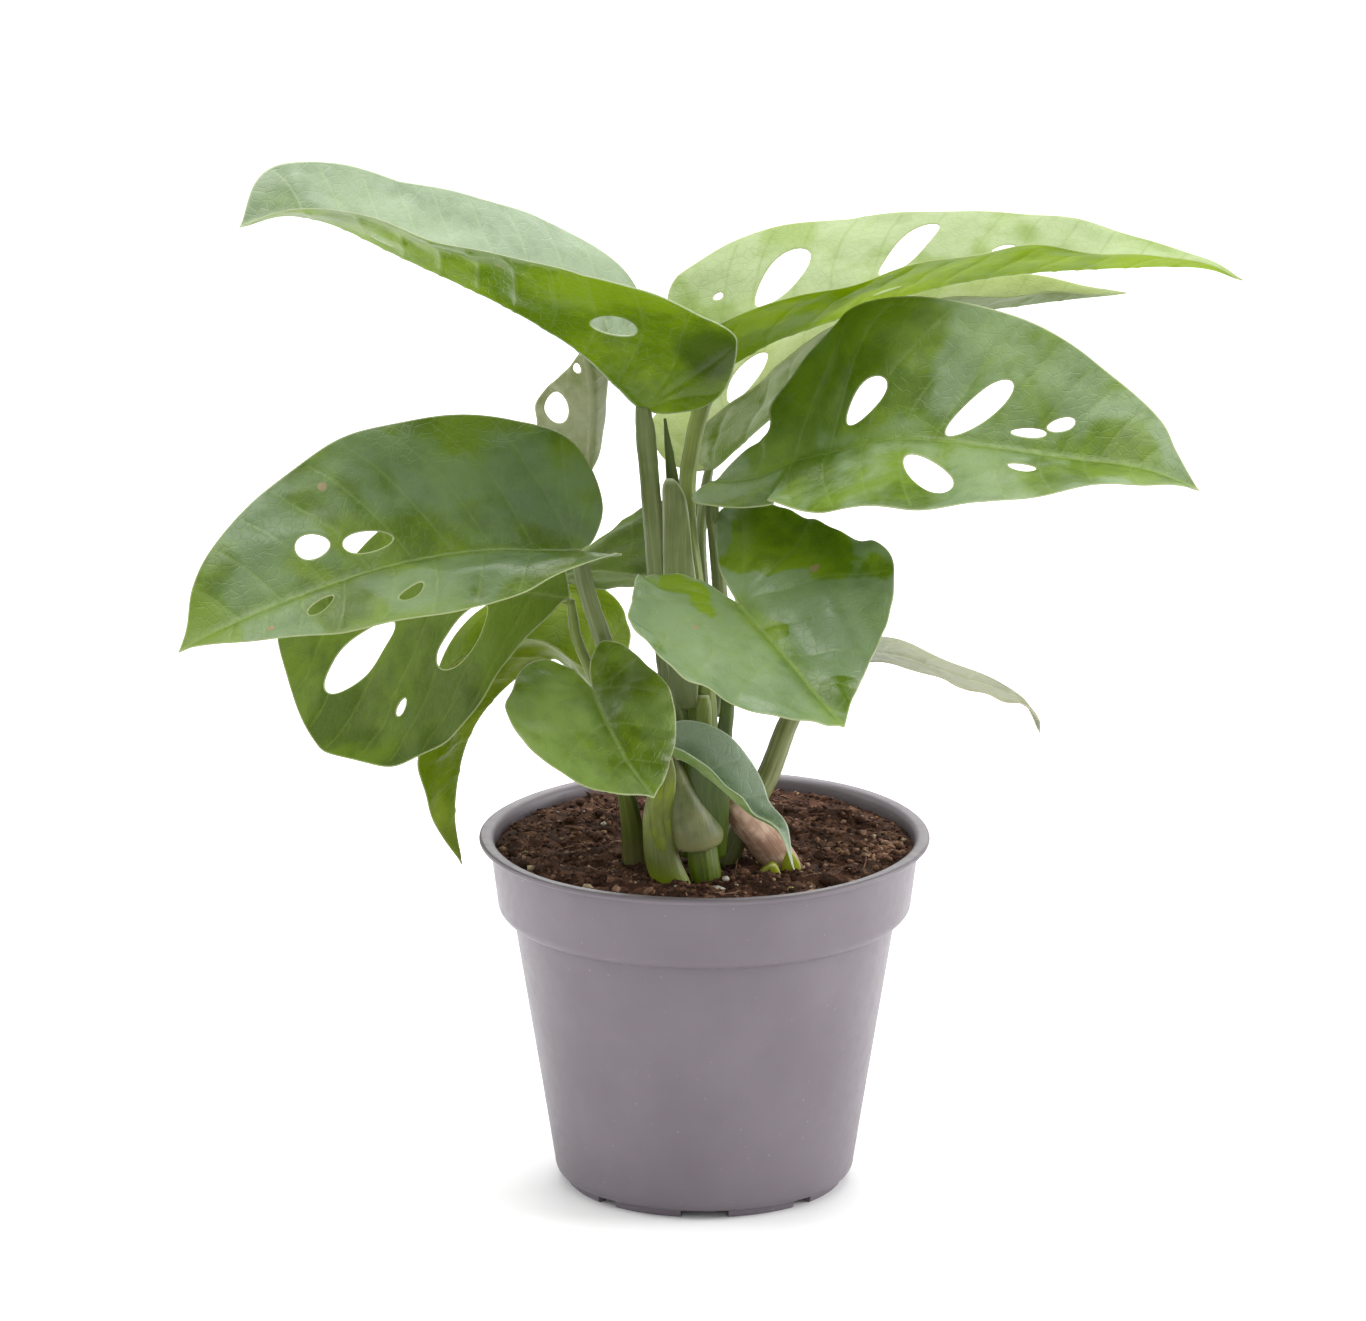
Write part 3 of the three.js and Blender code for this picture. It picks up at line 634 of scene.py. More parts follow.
@dataclass(frozen=True)
class Hole:
    """A hole in a half blade laid flat: its middle, half sizes, and turn in degrees."""

    along: float
    out: float
    half_length: float
    half_width: float
    turn: float

    def root(self) -> float:
        """Returns where a side vein through the hole would leave the midrib."""
        return self.along - VEIN_SLANT * self.out

    def loop(self, side: int, margin: float = 0.0) -> Points:
        """Returns the hole's outline, a little wider at its outer end.

        Args:
            side: 1 for the left half, -1 for the right.
            margin: How far outside the hole the outline runs.

        Returns:
            Its points, as along and across.
        """
        round_it = math.pi * (self.half_length + self.half_width)
        angles = np.linspace(0, 2 * math.pi, max(9, round(round_it / MARGIN_STEP)), endpoint=False)
        length = (self.half_length + margin) * np.cos(angles)
        width = (self.half_width + margin) * np.sin(angles) * (1 + 0.16 * np.cos(angles))
        turn = math.radians(self.turn)
        along = self.along + length * math.cos(turn) - width * math.sin(turn)
        out = self.out + length * math.sin(turn) + width * math.cos(turn)
        return np.stack([along, side * out], axis=1)


@dataclass(frozen=True)
class Half:
    """One half of a blade.

    Attributes:
        width: Half width of the blade.
        reach: How far the lobe reaches behind the joint.
        outline: Which outline it has.
        lift: Degrees above level at four stations from the joint to the tip.
        holes: Its holes.
    """

    width: float
    reach: float
    outline: Outline
    lift: tuple[float, ...]
    holes: tuple[Hole, ...] = ()

    def margin(self, length: float) -> Points:
        """Returns the margin from the sinus to the tip, as along and out."""
        knots = [(a * (self.reach if a < 0 else length), b * self.width) for a, b in self.outline.value]
        return spaced(catmull_rom(knots, 12), MARGIN_STEP)

    def vein_roots(self, length: float) -> list[float]:
        """Returns where side veins leave the midrib, so that each hole lies between two of them."""
        beyond = VEIN_SPACING / 2
        beside = [hole.root() + shift for hole in self.holes for shift in (-beyond, beyond)]
        marks = sorted(mark for mark in beside if beyond < mark < 0.9 * length)
        merged: list[float] = [0.0]
        for mark in marks:
            if mark - merged[-1] < 0.65 * VEIN_SPACING and len(merged) > 1:
                merged[-1] = (merged[-1] + mark) / 2
            elif mark - merged[-1] >= 0.5 * VEIN_SPACING:
                merged.append(mark)
        roots: list[float] = []
        for start, end in zip(merged, [*merged[1:], 0.95 * length]):
            count = max(1, round((end - start) / VEIN_SPACING))
            roots += [start + (end - start) * i / count for i in range(count)]
        return roots[1:]

    def veins(self, length: float) -> list[Points]:
        """Returns the side veins of the half as flat lines, each arching towards the tip."""
        margin = self.margin(length)
        shoulder = int(np.argmax(margin[:, 0] - VEIN_SLANT * margin[:, 1] >= 0.5))
        lobe = margin[: shoulder + 1]
        ends = [(0.0, lobe[round(share * (len(lobe) - 1))]) for share in (0.42, 0.66, 0.98) if shoulder > 1]
        outer = margin[shoulder:]
        slants = outer[:, 0] - VEIN_SLANT * outer[:, 1]
        for root in self.vein_roots(length):
            ends.append((root, outer[int(np.argmax(slants >= root))]))
        lines = []
        for root, end in ends:
            steps = np.linspace(0, 0.96, 24)[:, None]
            start = np.array([root, 0.0])
            bend = np.array([root + 0.3 * (end[0] - root), 0.52 * end[1]])
            lines.append((1 - steps) ** 2 * start + 2 * steps * (1 - steps) * bend + steps**2 * end)
        return lines


class Mark(Enum):
    """What a spot on a blade is, by the name of the value that its finish reads."""

    SCAR = "scar"
    # Painted shade laid over a bent-over lobe.
    PAINTED_SHADE = "painted_shade"
    # A patch where the painted sheen is left out, showing the saturated green.
    CLEAR = "clear"


@dataclass(frozen=True)
class Spot:
    """A spot on a blade, round as the blade lies flat.

    Attributes:
        along: Its place along the midrib.
        across: Its place out from the midrib, above nought on the left half.
        radius: Its radius.
        mark: What it is.
    """

    along: float
    across: float
    radius: float
    mark: Mark = Mark.SCAR


@dataclass(frozen=True)
class Blade(Dressed):
    """A leaf blade, folded along its midrib, with sunken veins, quilting and its holes.

    Attributes:
        name: The blade's place on the plant; its CAD node is blade_ and this name.
        midrib: Points of the midrib from the petiole joint to the tip.
        left: Its left half, seen from the joint with the upper face up.
        right: Its right half.
        finish: Its finish.
        up_at_base: Which way the upper face looks at the joint.
        up_at_tip: Which way the upper face looks at the tip.
        quilt: Height of the swellings between the side veins.
        wave: Height of the slow waves of the whole blade.
        ruffle: Height of the waves along the margin.
        pucker: Height of the small uneven swellings.
        thickness: Thickness away from the margin.
        rib_depth: Height of the midrib on the lower face.
        seed: Seed of the waves and of the finish's place in its patterns.
        spots: Its brown spots, its patches of painted shade, and its patches kept free of the painted sheen.
        slot: The material slot.
    """

    name: str
    midrib: tuple[Place, ...]
    left: Half
    right: Half
    finish: LeafFinish
    up_at_base: Place = (0, 0, 1)
    up_at_tip: Place = (0, 0, 1)
    quilt: float = 0.55
    wave: float = 0.8
    ruffle: float = 0.6
    pucker: float = 0.3
    thickness: float = 0.5
    rib_depth: float = 1.3
    seed: int = 1
    spots: tuple[Spot, ...] = ()
    slot: str = "leaf"

    swell_width: ClassVar[float] = 4.6
    groove_depth: ClassVar[float] = 0.2
    groove_width: ClassVar[float] = 0.8
    valley_depth: ClassVar[float] = 0.45
    valley_width: ClassVar[float] = 1.4
    vein_height: ClassVar[float] = 0.22
    vein_width: ClassVar[float] = 0.7
    keel_width: ClassVar[float] = 1.3
    margin_share: ClassVar[float] = 0.45
    margin_width: ClassVar[float] = 1.2

    def curve(self) -> Points:
        """Returns the midrib as a finely sampled curve."""
        return catmull_rom(self.midrib, 24)

    def length(self) -> float:
        """Returns the midrib's length."""
        return float(arc_lengths(self.curve())[-1])

    def halves(self) -> tuple[tuple[int, Half], tuple[int, Half]]:
        """Returns both halves with the side they are on."""
        return (1, self.left), (-1, self.right)

    def margin(self) -> Points:
        """Returns the whole flat margin as a loop of along and across."""
        length = self.length()
        left = self.left.margin(length)
        right = self.right.margin(length) * (1, -1)
        return np.vstack([left, right[-2:0:-1]])

    def hole_loops(self) -> list[Points]:
        """Returns the flat outlines of all holes."""
        return [hole.loop(side) for side, half in self.halves() for hole in half.holes]

    def vein_lines(self) -> list[Points]:
        """Returns all side veins as flat lines of along and across."""
        length = self.length()
        return [line * (1, side) for side, half in self.halves() for line in half.veins(length)]

    def sheet(self) -> tuple[Points, Faces]:
        """Lays out the flat blade as triangles whose corners follow its margins and veins.

        Returns:
            The corner points and the triangles.
        """
        loops = [self.margin(), *self.hole_loops()]
        edge_points = np.vstack(loops)
        rows = [edge_points]
        for loop in loops:
            ahead = unit(np.roll(loop, -1, axis=0) - np.roll(loop, 1, axis=0))
            across = np.stack([-ahead[:, 1], ahead[:, 0]], axis=1)
            rows += [loop + side * gap * across for gap in MARGIN_ROWS for side in (-1, 1)]
        length = self.length()
        ribs = np.arange(0.5, length - 1, VEIN_STEP)
        rows += [np.stack([ribs, np.full(len(ribs), out)], axis=1)
                 for gap in (0.0, *RIB_ROWS) for out in {gap, -gap}]
        for line in self.vein_lines():
            fine = spaced(line, VEIN_STEP)
            ahead = unit(np.gradient(fine, axis=0))
            across = np.stack([-ahead[:, 1], ahead[:, 0]], axis=1)
            rows += [fine + shift * across for gap in (0.0, *VEIN_ROWS) for shift in {gap, -gap}]
        low, high = edge_points.min(axis=0), edge_points.max(axis=0)
        along, out = np.meshgrid(np.arange(low[0], high[0], MESH_STEP),
                                 np.arange(low[1], high[1], MESH_STEP * 0.87), indexing="ij")
        along = along + (np.arange(along.shape[1]) % 2) * MESH_STEP / 2
        rows.append(np.stack([along.ravel(), out.ravel()], axis=1))
        points = thinned(rows)
        free = points[len(edge_points):]
        keep = self.within(free, loops) & (distance_to_loops(free, loops) > MARGIN_GAP)
        points = np.vstack([edge_points, free[keep]])
        edges = []
        first = 0
        for loop in loops:
            count = len(loop)
            edges += [(first + i, first + (i + 1) % count) for i in range(count)]
            first += count
        flat, _, faces, *_ = delaunay_2d_cdt([Vector(point) for point in points], edges, [], 0, 1e-5, False)
        laid = np.array([tuple(point) for point in flat])
        corners = np.array(faces)
        within = self.within(laid[corners].mean(axis=1), loops)
        kept = corners[within]
        used, renumbered = np.unique(kept, return_inverse=True)
        return laid[used], renumbered.reshape(-1, 3).tolist()

    @staticmethod
    def within(places: Points, loops: list[Points]) -> Points:
        """Returns which flat places are on the blade: inside its margin and outside its holes."""
        kept = inside(places, loops[0])
        for loop in loops[1:]:
            kept &= ~inside(places, loop)
        return kept

    def relief(self, flat: Points, vein: Points, edge: Points) -> Points:
        """Returns how high the blade stands above its folded sheet.

        Args:
            flat: Places on the flat blade.
            vein: Distance of each from a side vein.
            edge: Distance of each from a margin.

        Returns:
            One height a place.
        """
        out = np.abs(flat[:, 1])
        size = self.length()
        away = smooth(out / (0.12 * size))
        uneven = 0.55 + 0.45 * waves(flat, 30.0, self.seed + 20)
        swell = self.quilt * uneven * (1 - bump_at(vein, self.swell_width)) * smooth(edge / 8) * away
        groove = -self.groove_depth * bump_at(vein, self.groove_width) * smooth(edge / 4)
        valley = -self.valley_depth * bump_at(out, self.valley_width) * smooth(flat[:, 0] / 4)
        slow = self.wave * waves(flat, 0.34 * size, self.seed) * away
        pucker = self.pucker * waves(flat, 15.0, self.seed + 40) * smooth(edge / 5) * away
        rim = self.ruffle * waves(flat, 0.2 * size, self.seed + 80) * (1 - smooth(edge / 9)) * away
        return swell + groove + valley + slow + pucker + rim

    def fold(self, flat: Points, height: Points) -> Points:
        """Returns where flat places, at heights above the sheet, lie on the folded blade."""
        curve = self.curve()
        length = self.length()
        share = np.clip(flat[:, 0] / length, 0, 1)
        spine = at_lengths(curve, share * length)
        reach = 1.5
        ahead = at_lengths(curve, np.minimum(share * length + reach, length))
        forward = unit(ahead - at_lengths(curve, np.maximum(share * length - reach, 0)))
        base, tip = np.array(self.up_at_base, float), np.array(self.up_at_tip, float)
        left = unit(np.cross(base + (tip - base) * share[:, None], forward))
        normal = np.cross(forward, left)
        side = np.where(flat[:, 1] >= 0, 1.0, -1.0)
        out = np.abs(flat[:, 1])
        stations = np.linspace(0, 1, len(self.left.lift))
        lifts = [np.interp(share, stations, half.lift) for _, half in self.halves()]
        lift = np.radians(np.where(side > 0, *lifts))
        steps = (np.arange(20) + 0.5) / 20
        slopes = lift[:, None] * smooth(out[:, None] * steps / FOLD_WIDTH)
        slope = lift * smooth(out / FOLD_WIDTH)
        across = out * np.cos(slopes).mean(axis=1) - height * np.sin(slope)
        rise = out * np.sin(slopes).mean(axis=1) + height * np.cos(slope)
        behind = np.minimum(flat[:, 0], 0)
        return spine + forward * behind[:, None] + left * (side * across)[:, None] + normal * rise[:, None]

    def build(self) -> bpy.types.Object:
        """Makes the blade as a thin closed solid and returns it."""
        flat, faces = self.sheet()
        loops = [self.margin(), *self.hole_loops()]
        lines = self.vein_lines()
        starts = np.vstack([line[:-1] for line in lines])
        ends = np.vstack([line[1:] for line in lines])
        vein = np.minimum(distance_to_lines(flat, starts, ends), FURTHEST_VEIN)
        edge = distance_to_loops(flat, loops)
        length = self.length()
        behind = np.minimum(flat[:, 0], 0)
        rib = np.hypot(flat[:, 1], behind)
        middle = self.relief(flat, vein, edge)
        full = self.margin_share + (1 - self.margin_share) * smooth(edge / self.margin_width)
        half = self.thickness / 2 * full
        taper = np.clip(1 - flat[:, 0] / length, 0.15, 1)
        veined = self.vein_height * taper * bump_at(vein,
                                                    self.vein_width) * smooth(edge / 5) * smooth(rib / 6)
        keel = self.rib_depth * taper * bump_at(rib, self.keel_width) + veined
        upper = self.fold(flat, middle + half)
        lower = self.fold(flat, middle - half - keel)
        count = len(flat)
        shell = [tuple(face) for face in faces] + [(c + count, b + count, a + count) for a, b, c in faces]
        shell += [(b, a, a + count, b + count) for a, b in open_edges(faces)]
        skins = np.vstack([upper, lower])
        piece = make_piece(f"leaf_{self.name}", skins, shell, self.slot, [f"blade_{self.name}"])
        places = np.column_stack([flat, np.full(count, self.seed * PATTERN_SHIFT)])
        store(piece, "flat", np.vstack([places, places]))
        shares = {"vein": vein, "rib": rib, "edge": edge, **{mark.value: np.zeros(count) for mark in Mark}}
        for spot in self.spots:
            gap = np.hypot(flat[:, 0] - spot.along, flat[:, 1] - spot.across)
            shares[spot.mark.value] = np.maximum(shares[spot.mark.value], 1 - smooth(gap / spot.radius / 1.6))
        for name, values in shares.items():
            store(piece, name, np.concatenate([values, values]))
        store(piece, "upper", np.concatenate([np.ones(count), np.zeros(count)]))
        return piece


def thinned(rows: Sequence[Points]) -> Points:
    """Returns the points of all rows without those that crowd an earlier one.

    The first row, of margins, stays whole. The last row, which fills the blade, keeps further off.
    """
    taken: dict[tuple[int, int], list[tuple[float, float]]] = {}
    kept: list[tuple[float, float]] = []
    for number, row in enumerate(rows):
        reach = 0.0 if number == 0 else (FILL_GAP if number == len(rows) - 1 else ROW_GAP)
        for x, y in row.tolist():
            cell = (math.floor(x), math.floor(y))
            cells = [(cell[0] + i, cell[1] + j) for i in (-1, 0, 1) for j in (-1, 0, 1)]
            near = [other for each in cells for other in taken.get(each, ())]
            if reach and any((x - a) ** 2 + (y - b) ** 2 < reach**2 for a, b in near):
                continue
            taken.setdefault(cell, []).append((x, y))
            kept.append((x, y))
    return np.array(kept)


def distance_to_loops(places: Points, loops: Sequence[Points]) -> Points:
    """Returns the distance from each flat place to the nearest of several closed loops."""
    starts = np.vstack(loops)
    ends = np.vstack([np.roll(loop, -1, axis=0) for loop in loops])
    return distance_to_lines(places, starts, ends)


def open_edges(faces: Faces) -> list[tuple[int, int]]:
    """Returns the edges that only one face has, in that face's direction."""
    edges = {(face[i], face[(i + 1) % len(face)]) for face in faces for i in range(len(face))}
    return [edge for edge in sorted(edges) if edge[::-1] not in edges]


# Stalks and sheaths

FIBRE = 0.7
FIBRE_LENGTH = 16.0


@dataclass
class Shell:
    """A mesh in the making, with the values that its finish reads at every point."""

    points: list[Points] = field(default_factory=list)
    faces: Faces = field(default_factory=list)
    values: dict[str, list[Points]] = field(default_factory=dict)

    def add(self, points: Points, faces: Faces, **values: Points) -> None:
        """Adds points, the faces between them, and their values."""
        first = sum(len(part) for part in self.points)
        self.points.append(points)
        self.faces += [tuple(corner + first for corner in face) for face in faces]
        for name, part in values.items():
            self.values.setdefault(name, []).append(part)

    def piece(self, name: str, slot: str, replaced: Sequence[str]) -> bpy.types.Object:
        """Returns the finished mesh as a piece that stands for CAD nodes."""
        made = make_piece(name, np.vstack(self.points), self.faces, slot, replaced)
        for key, parts in self.values.items():
            store(made, key, np.concatenate(parts))
        return made


def grid_faces(rows: int, columns: int, closed: bool) -> Faces:
    """Returns the faces between the rows of a grid of points.

    Args:
        rows: How many rows.
        columns: How many points a row has.
        closed: Whether the end of each row meets its start.

    Returns:
        The four-cornered faces.
    """
    last = columns if closed else columns - 1
    faces = []
    for row in range(rows - 1):
        for column in range(last):
            a, b = row * columns + column, row * columns + (column + 1) % columns
            faces.append((a, b, b + columns, a + columns))
    return faces


@dataclass(frozen=True)
class Wrap:
    """A leaf sheath: a sheet that wraps half round a stem, with thin pale rims.

    Attributes:
        rows: From the foot to the top, each with its left rim, its right rim, and how far its
            middle bulges towards the front.
        thickness: Thickness at the middle.
        seed: Its place in the finish's patterns.
        rim: How far in from its rims the pale edge reaches.
    """

    rows: tuple[tuple[Place, Place, float], ...]
    thickness: float = 0.9
    seed: int = 1
    rim: float = 0.8

    def add_to(self, shell: Shell) -> None:
        """Adds the sheath to a shell."""
        knots = np.array([(*left, *right, bulge) for left, right, bulge in self.rows], float)
        fine = spaced(catmull_rom(knots, 12), 1.4)
        left, right, bulge = fine[:, :3], fine[:, 3:6], fine[:, 6:7]
        middle, half = (left + right) / 2, (right - left) / 2
        forward = unit(np.gradient(middle, axis=0))
        outward = unit(np.cross(half, forward))
        turns = np.linspace(math.pi, 0, 25)
        along = arc_lengths(middle)
        layers, shares, edges, flats, fibres = [], [], [], [], []
        for inset in (0.0, 1.0):
            rows = []
            for turn in turns:
                rim = min(turn, math.pi - turn) / (math.pi / 2)
                depth = inset * self.thickness * (0.25 + 0.75 * min(1.0, 3 * rim))
                point = middle + half * math.cos(turn) + outward * bulge * math.sin(turn)
                ruffle = 0.18 * np.sin(along / 3.1 + self.seed)[:, None] * (1 - min(1.0, 3 * rim))
                inward = half / 6 * depth * math.cos(turn)
                rows.append(point + outward * (ruffle - depth * math.sin(turn)) - inward)
            layer = np.stack(rows, axis=1)
            steps = np.linalg.norm(np.diff(layer, axis=1), axis=2)
            around = np.concatenate([np.zeros((len(layer), 1)), np.cumsum(steps, axis=1)], axis=1)
            near_rim = np.minimum(around, around[:, -1:] - around)
            near_top = (along[-1] - along)[:, None] + 0 * around
            edges.append(1 - smooth(np.minimum(near_rim, near_top) / self.rim).ravel())
            shares.append(np.repeat(along / along[-1], len(turns)))
            length = np.repeat(along[:, None], len(turns), axis=1)
            seat = np.full(length.shape, self.seed * 31.0)
            flats.append(np.stack([around, length, seat], axis=-1).reshape(-1, 3))
            fibres.append(np.stack([around / FIBRE, seat, length / FIBRE_LENGTH], axis=-1).reshape(-1, 3))
            layers.append(layer.reshape(-1, 3))
        outer = grid_faces(len(fine), len(turns), False)
        count = len(fine) * len(turns)
        inner = [tuple(corner + count for corner in reversed(face)) for face in outer]
        walls = [(b, a, a + count, b + count) for a, b in open_edges(outer)]
        shell.add(np.vstack(layers), outer + inner + walls, flat=np.vstack(flats), around=np.vstack(fibres),
                  share=np.concatenate(shares), edge=np.concatenate(edges))


@dataclass(frozen=True)
class Stalk(Dressed):
    """A stem or petiole with fine ribs, whose width and depth change along its path.

    Attributes:
        name: Name of the piece.
        nodes: The CAD nodes that it stands for.
        path: Points from its foot to its top.
        sizes: Its share of the length, half width and half depth at each station.
        finish: Its finish.
        slot: The material slot.
        ribs: How many fine ribs run along it.
        rib_height: Height of the ribs, as a share of its size.
        lumps: Height of the soft lumps on its skin.
        wraps: Sheaths that are grown together with it.
        seed: Seed of its lumps and of its place in the finish's patterns.
        sides: How many points go round it.
    """

    name: str
    nodes: tuple[str, ...]
    path: tuple[Place, ...]
    sizes: tuple[Place, ...]
    finish: Finish
    slot: str = "petiole"
    ribs: int = 9
    rib_height: float = 0.035
    lumps: float = 0.06
    wraps: tuple[Wrap, ...] = ()
    seed: int = 1
    sides: int = 36

    def add_to(self, shell: Shell) -> None:
        """Adds the stalk's own skin to a shell."""
        curve = spaced(catmull_rom(self.path, 20), 1.3)
        along = arc_lengths(curve)
        share = along / along[-1]
        stations = np.array(self.sizes)
        measured = [np.interp(share, stations[:, 0], sizes) for sizes in stations[:, 1:].T]
        wide, deep = (np.convolve(np.pad(sizes, 3, "edge"), np.ones(7) / 7, "valid") for sizes in measured)
        forward = unit(np.gradient(curve, axis=0))
        right = unit(np.cross(forward, (0, 1.0, 0.05)))
        front = np.cross(forward, right)
        angles = np.linspace(0, 2 * math.pi, self.sides, endpoint=False)
        ribbed = 1 + self.rib_height * np.cos(self.ribs * angles)
        rings = []
        for angle, size in zip(angles, ribbed):
            rings.append(curve + right * (wide * math.cos(angle) * size)[:, None]
                         + front * (deep * math.sin(angle) * size)[:, None])
        skin = np.stack(rings, axis=1)
        flat_skin = skin.reshape(-1, 3)
        outward = unit(flat_skin - np.repeat(curve, self.sides, axis=0))
        flat_skin = flat_skin + outward * (self.lumps * waves(flat_skin, 4.0, self.seed))[:, None]
        ends = np.stack([curve[0] - forward[0] * 0.3 * wide[0], curve[-1] + forward[-1] * 0.5 * wide[-1]])
        faces = grid_faces(len(curve), self.sides, True)
        count = len(flat_skin)
        top = count - self.sides
        for side in range(self.sides):
            after = (side + 1) % self.sides
            faces.append((after, side, count))
            faces.append((top + side, top + after, count + 1))
        around = np.tile(angles, len(curve))
        length = np.repeat(along, self.sides)
        size = float(measured[0].mean())
        flat = np.stack([around * size, length, np.full(count, self.seed * 57.0)], axis=1)
        fibres = np.stack([np.cos(around) * size / FIBRE, np.sin(around) * size / FIBRE + self.seed * 19.0,
                           length / FIBRE_LENGTH], axis=1)
        shares = np.repeat(share, self.sides)
        shell.add(np.vstack([flat_skin, ends]), faces, flat=np.vstack([flat, flat[[0, -1]]]),
                  around=np.vstack([fibres, fibres[[0, -1]]]), share=np.append(shares, (0.0, 1.0)),
                  edge=np.zeros(count + 2))

    def build(self) -> bpy.types.Object:
        """Makes the stalk and its sheaths as one piece and returns it."""
        shell = Shell()
        self.add_to(shell)
        for wrap in self.wraps:
            wrap.add_to(shell)
        return shell.piece(self.name, self.slot, self.nodes)


@dataclass(frozen=True)
class Sheath(Dressed):
    """A sheath that is a piece of its own, made of one or more wraps.

    Attributes:
        name: Name of the piece.
        nodes: The CAD nodes that it stands for.
        wraps: Its sheets.
        finish: Its finish.
        slot: The material slot.
    """

    name: str
    nodes: tuple[str, ...]
    wraps: tuple[Wrap, ...]
    finish: Finish
    slot: str = "sheath"

    def build(self) -> bpy.types.Object:
        """Makes the sheath and returns it."""
        shell = Shell()
        for wrap in self.wraps:
            wrap.add_to(shell)
        return shell.piece(self.name, self.slot, self.nodes)


# Pot and potting mix


@dataclass(frozen=True)
class Pot(Dressed):
    """A moulded 12 cm nursery pot: thin wall, banded rim with a rounded lip, feet and drain holes.

    Attributes:
        rim_radius: Radius over the lip.
        height: Height from the feet to the top of the lip.
        wall: Thickness of the wall.
        lip_width: How far the lip stands out from the band.
        lip_height: Height of the lip.
        band_depth: From the top down to the foot of the band.
        band_draft: How much the band narrows downwards.
        shoulder_depth: Height of the rounded step below the band.
        shoulder_step: How far that step goes in.
        shoulder_crease: How much of the step's height its sharp foot takes.
        wall_foot_radius: Radius where the wall meets the rounded corner of the base.
        base_radius: Radius of the flat base.
        corner_height: Height of the rounded corner.
        foot_height: Height of the feet.
        foot_width: Width of a foot.
        foot_arcs: Start and end of each foot in a quarter of the pot, in degrees.
        drain_radius: Radius of a drain hole.
        drain_circle: Radius of the circle that the drain holes are on.
        drains: How many drain holes.
        segments: How many points go round the pot.
        nicks: Place, width and depth of each nick in the lip, the first two in degrees.
        finish: Its finish.
    """

    rim_radius: float = 60.0
    height: float = 95.5
    wall: float = 1.2
    lip_width: float = 2.8
    lip_height: float = 1.7
    band_depth: float = 17.8
    band_draft: float = 2.1
    shoulder_depth: float = 4.2
    shoulder_step: float = 4.2
    shoulder_crease: float = 0.06
    wall_foot_radius: float = 39.9
    base_radius: float = 36.8
    corner_height: float = 3.8
    foot_height: float = 2.0
    foot_width: float = 3.0
    foot_arcs: tuple[tuple[float, float], ...] = ((10, 40), (50, 80))
    drain_radius: float = 3.5
    drain_circle: float = 27.0
    drains: int = 8
    segments: int = 168
    nicks: tuple[Place, ...] = ((-16.0, 1.4, 0.5), (-21.0, 1.0, 0.35))
    finish: PolypropyleneFinish = PolypropyleneFinish()

    def outside(self, inset: float = 0.0) -> list[tuple[float, float]]:
        """Returns the wall's line from the base to the foot of the lip, drawn inset inside the skin."""
        band_top = self.rim_radius - self.lip_width
        band_foot = band_top - self.band_draft
        wall_top = band_foot - self.shoulder_step
        shoulder_top = self.height - self.band_depth
        shoulder_foot = shoulder_top - self.shoulder_depth
        corner_step = self.wall_foot_radius - self.base_radius
        line = []
        for turn in np.linspace(0, math.pi / 2, 9):
            radius = self.base_radius + corner_step * math.sin(turn)
            rise = self.corner_height * (1 - math.cos(turn))
            line.append((radius - inset, self.foot_height + inset + rise))
        foot = line[-1]
        line += [(foot[0] + (wall_top - inset - foot[0]) * step, foot[1] + (shoulder_foot - foot[1]) * step)
                 for step in np.linspace(0.04, 1, 24)]
        for turn in np.linspace(0, math.pi / 2, 13):
            rise = self.shoulder_depth * (1 - (1 - self.shoulder_crease) * math.cos(turn))
            line.append((wall_top - inset + self.shoulder_step * math.sin(turn), shoulder_foot + rise))
        top = self.height - self.lip_height
        line += [(band_foot - inset + self.band_draft * step, shoulder_top + (top - shoulder_top) * step)
                 for step in np.linspace(0.1, 1, 10)]
        return line

    def lip(self) -> list[tuple[float, float]]:
        """Returns the rounded lip's line, from its foot outside the band over the top to the inside."""
        band_top = self.rim_radius - self.lip_width
        middle = self.height - self.lip_height / 2
        half = self.lip_height / 2
        outer = [(band_top + 0.5, self.height - self.lip_height - 0.15)]
        outer.append((self.rim_radius - half, middle - half))
        for angle in np.linspace(-0.4 * math.pi, 0.5 * math.pi, 9):
            outer.append((self.rim_radius - half + half * math.cos(angle), middle + half * math.sin(angle)))
        inner = band_top - self.wall
        rounded = ((1.4, 0.05), (0.5, 0.45), (0.0, 1.4))
        return outer + [(inner + out, self.height - down) for out, down in rounded]

    def lathe(self) -> tuple[Points, Faces]:
        """Returns the pot's skin, turned from its profile, as points and faces."""
        inner = self.outside(self.wall)[::-1][1:]
        profile = np.array([*self.outside(), *self.lip(), *inner])
        angles = np.linspace(0, 2 * math.pi, self.segments, endpoint=False)
        rings = [level_ring(radius, height, angles) for radius, height in profile]
        points = np.vstack([*rings, [(0, 0, self.foot_height)], [(0, 0, self.foot_height + self.wall)]])
        faces = grid_faces(len(rings), self.segments, True)
        low, high = len(points) - 2, len(points) - 1
        last = (len(rings) - 1) * self.segments
        for i in range(self.segments):
            after = (i + 1) % self.segments
            faces.append((low, after, i))
            faces.append((high, last + i, last + after))
        return points, faces

    def foot(self, start: float, end: float) -> tuple[Points, Faces]:
        """Returns one raised arc under the base, from a start to an end angle in degrees."""
        angles = np.radians(np.linspace(start, end, 12))
        top = self.foot_height + self.wall / 2
        corners = [(self.base_radius, top), (self.base_radius, 0.5), (self.base_radius - 0.5, 0.0),
                   (self.base_radius - self.foot_width + 0.5, 0.0), (self.base_radius - self.foot_width, 0.5),
                   (self.base_radius - self.foot_width, top)]
        rows = [[(radius * math.cos(angle), radius * math.sin(angle), height) for radius, height in corners]
                for angle in angles]
        count = len(corners)
        faces = [face[::-1] for face in grid_faces(len(rows), count, True)]
        faces += [tuple(range(count)), tuple(reversed(range(count * (len(rows) - 1), count * len(rows))))]
        return np.array(rows).reshape(-1, 3), faces

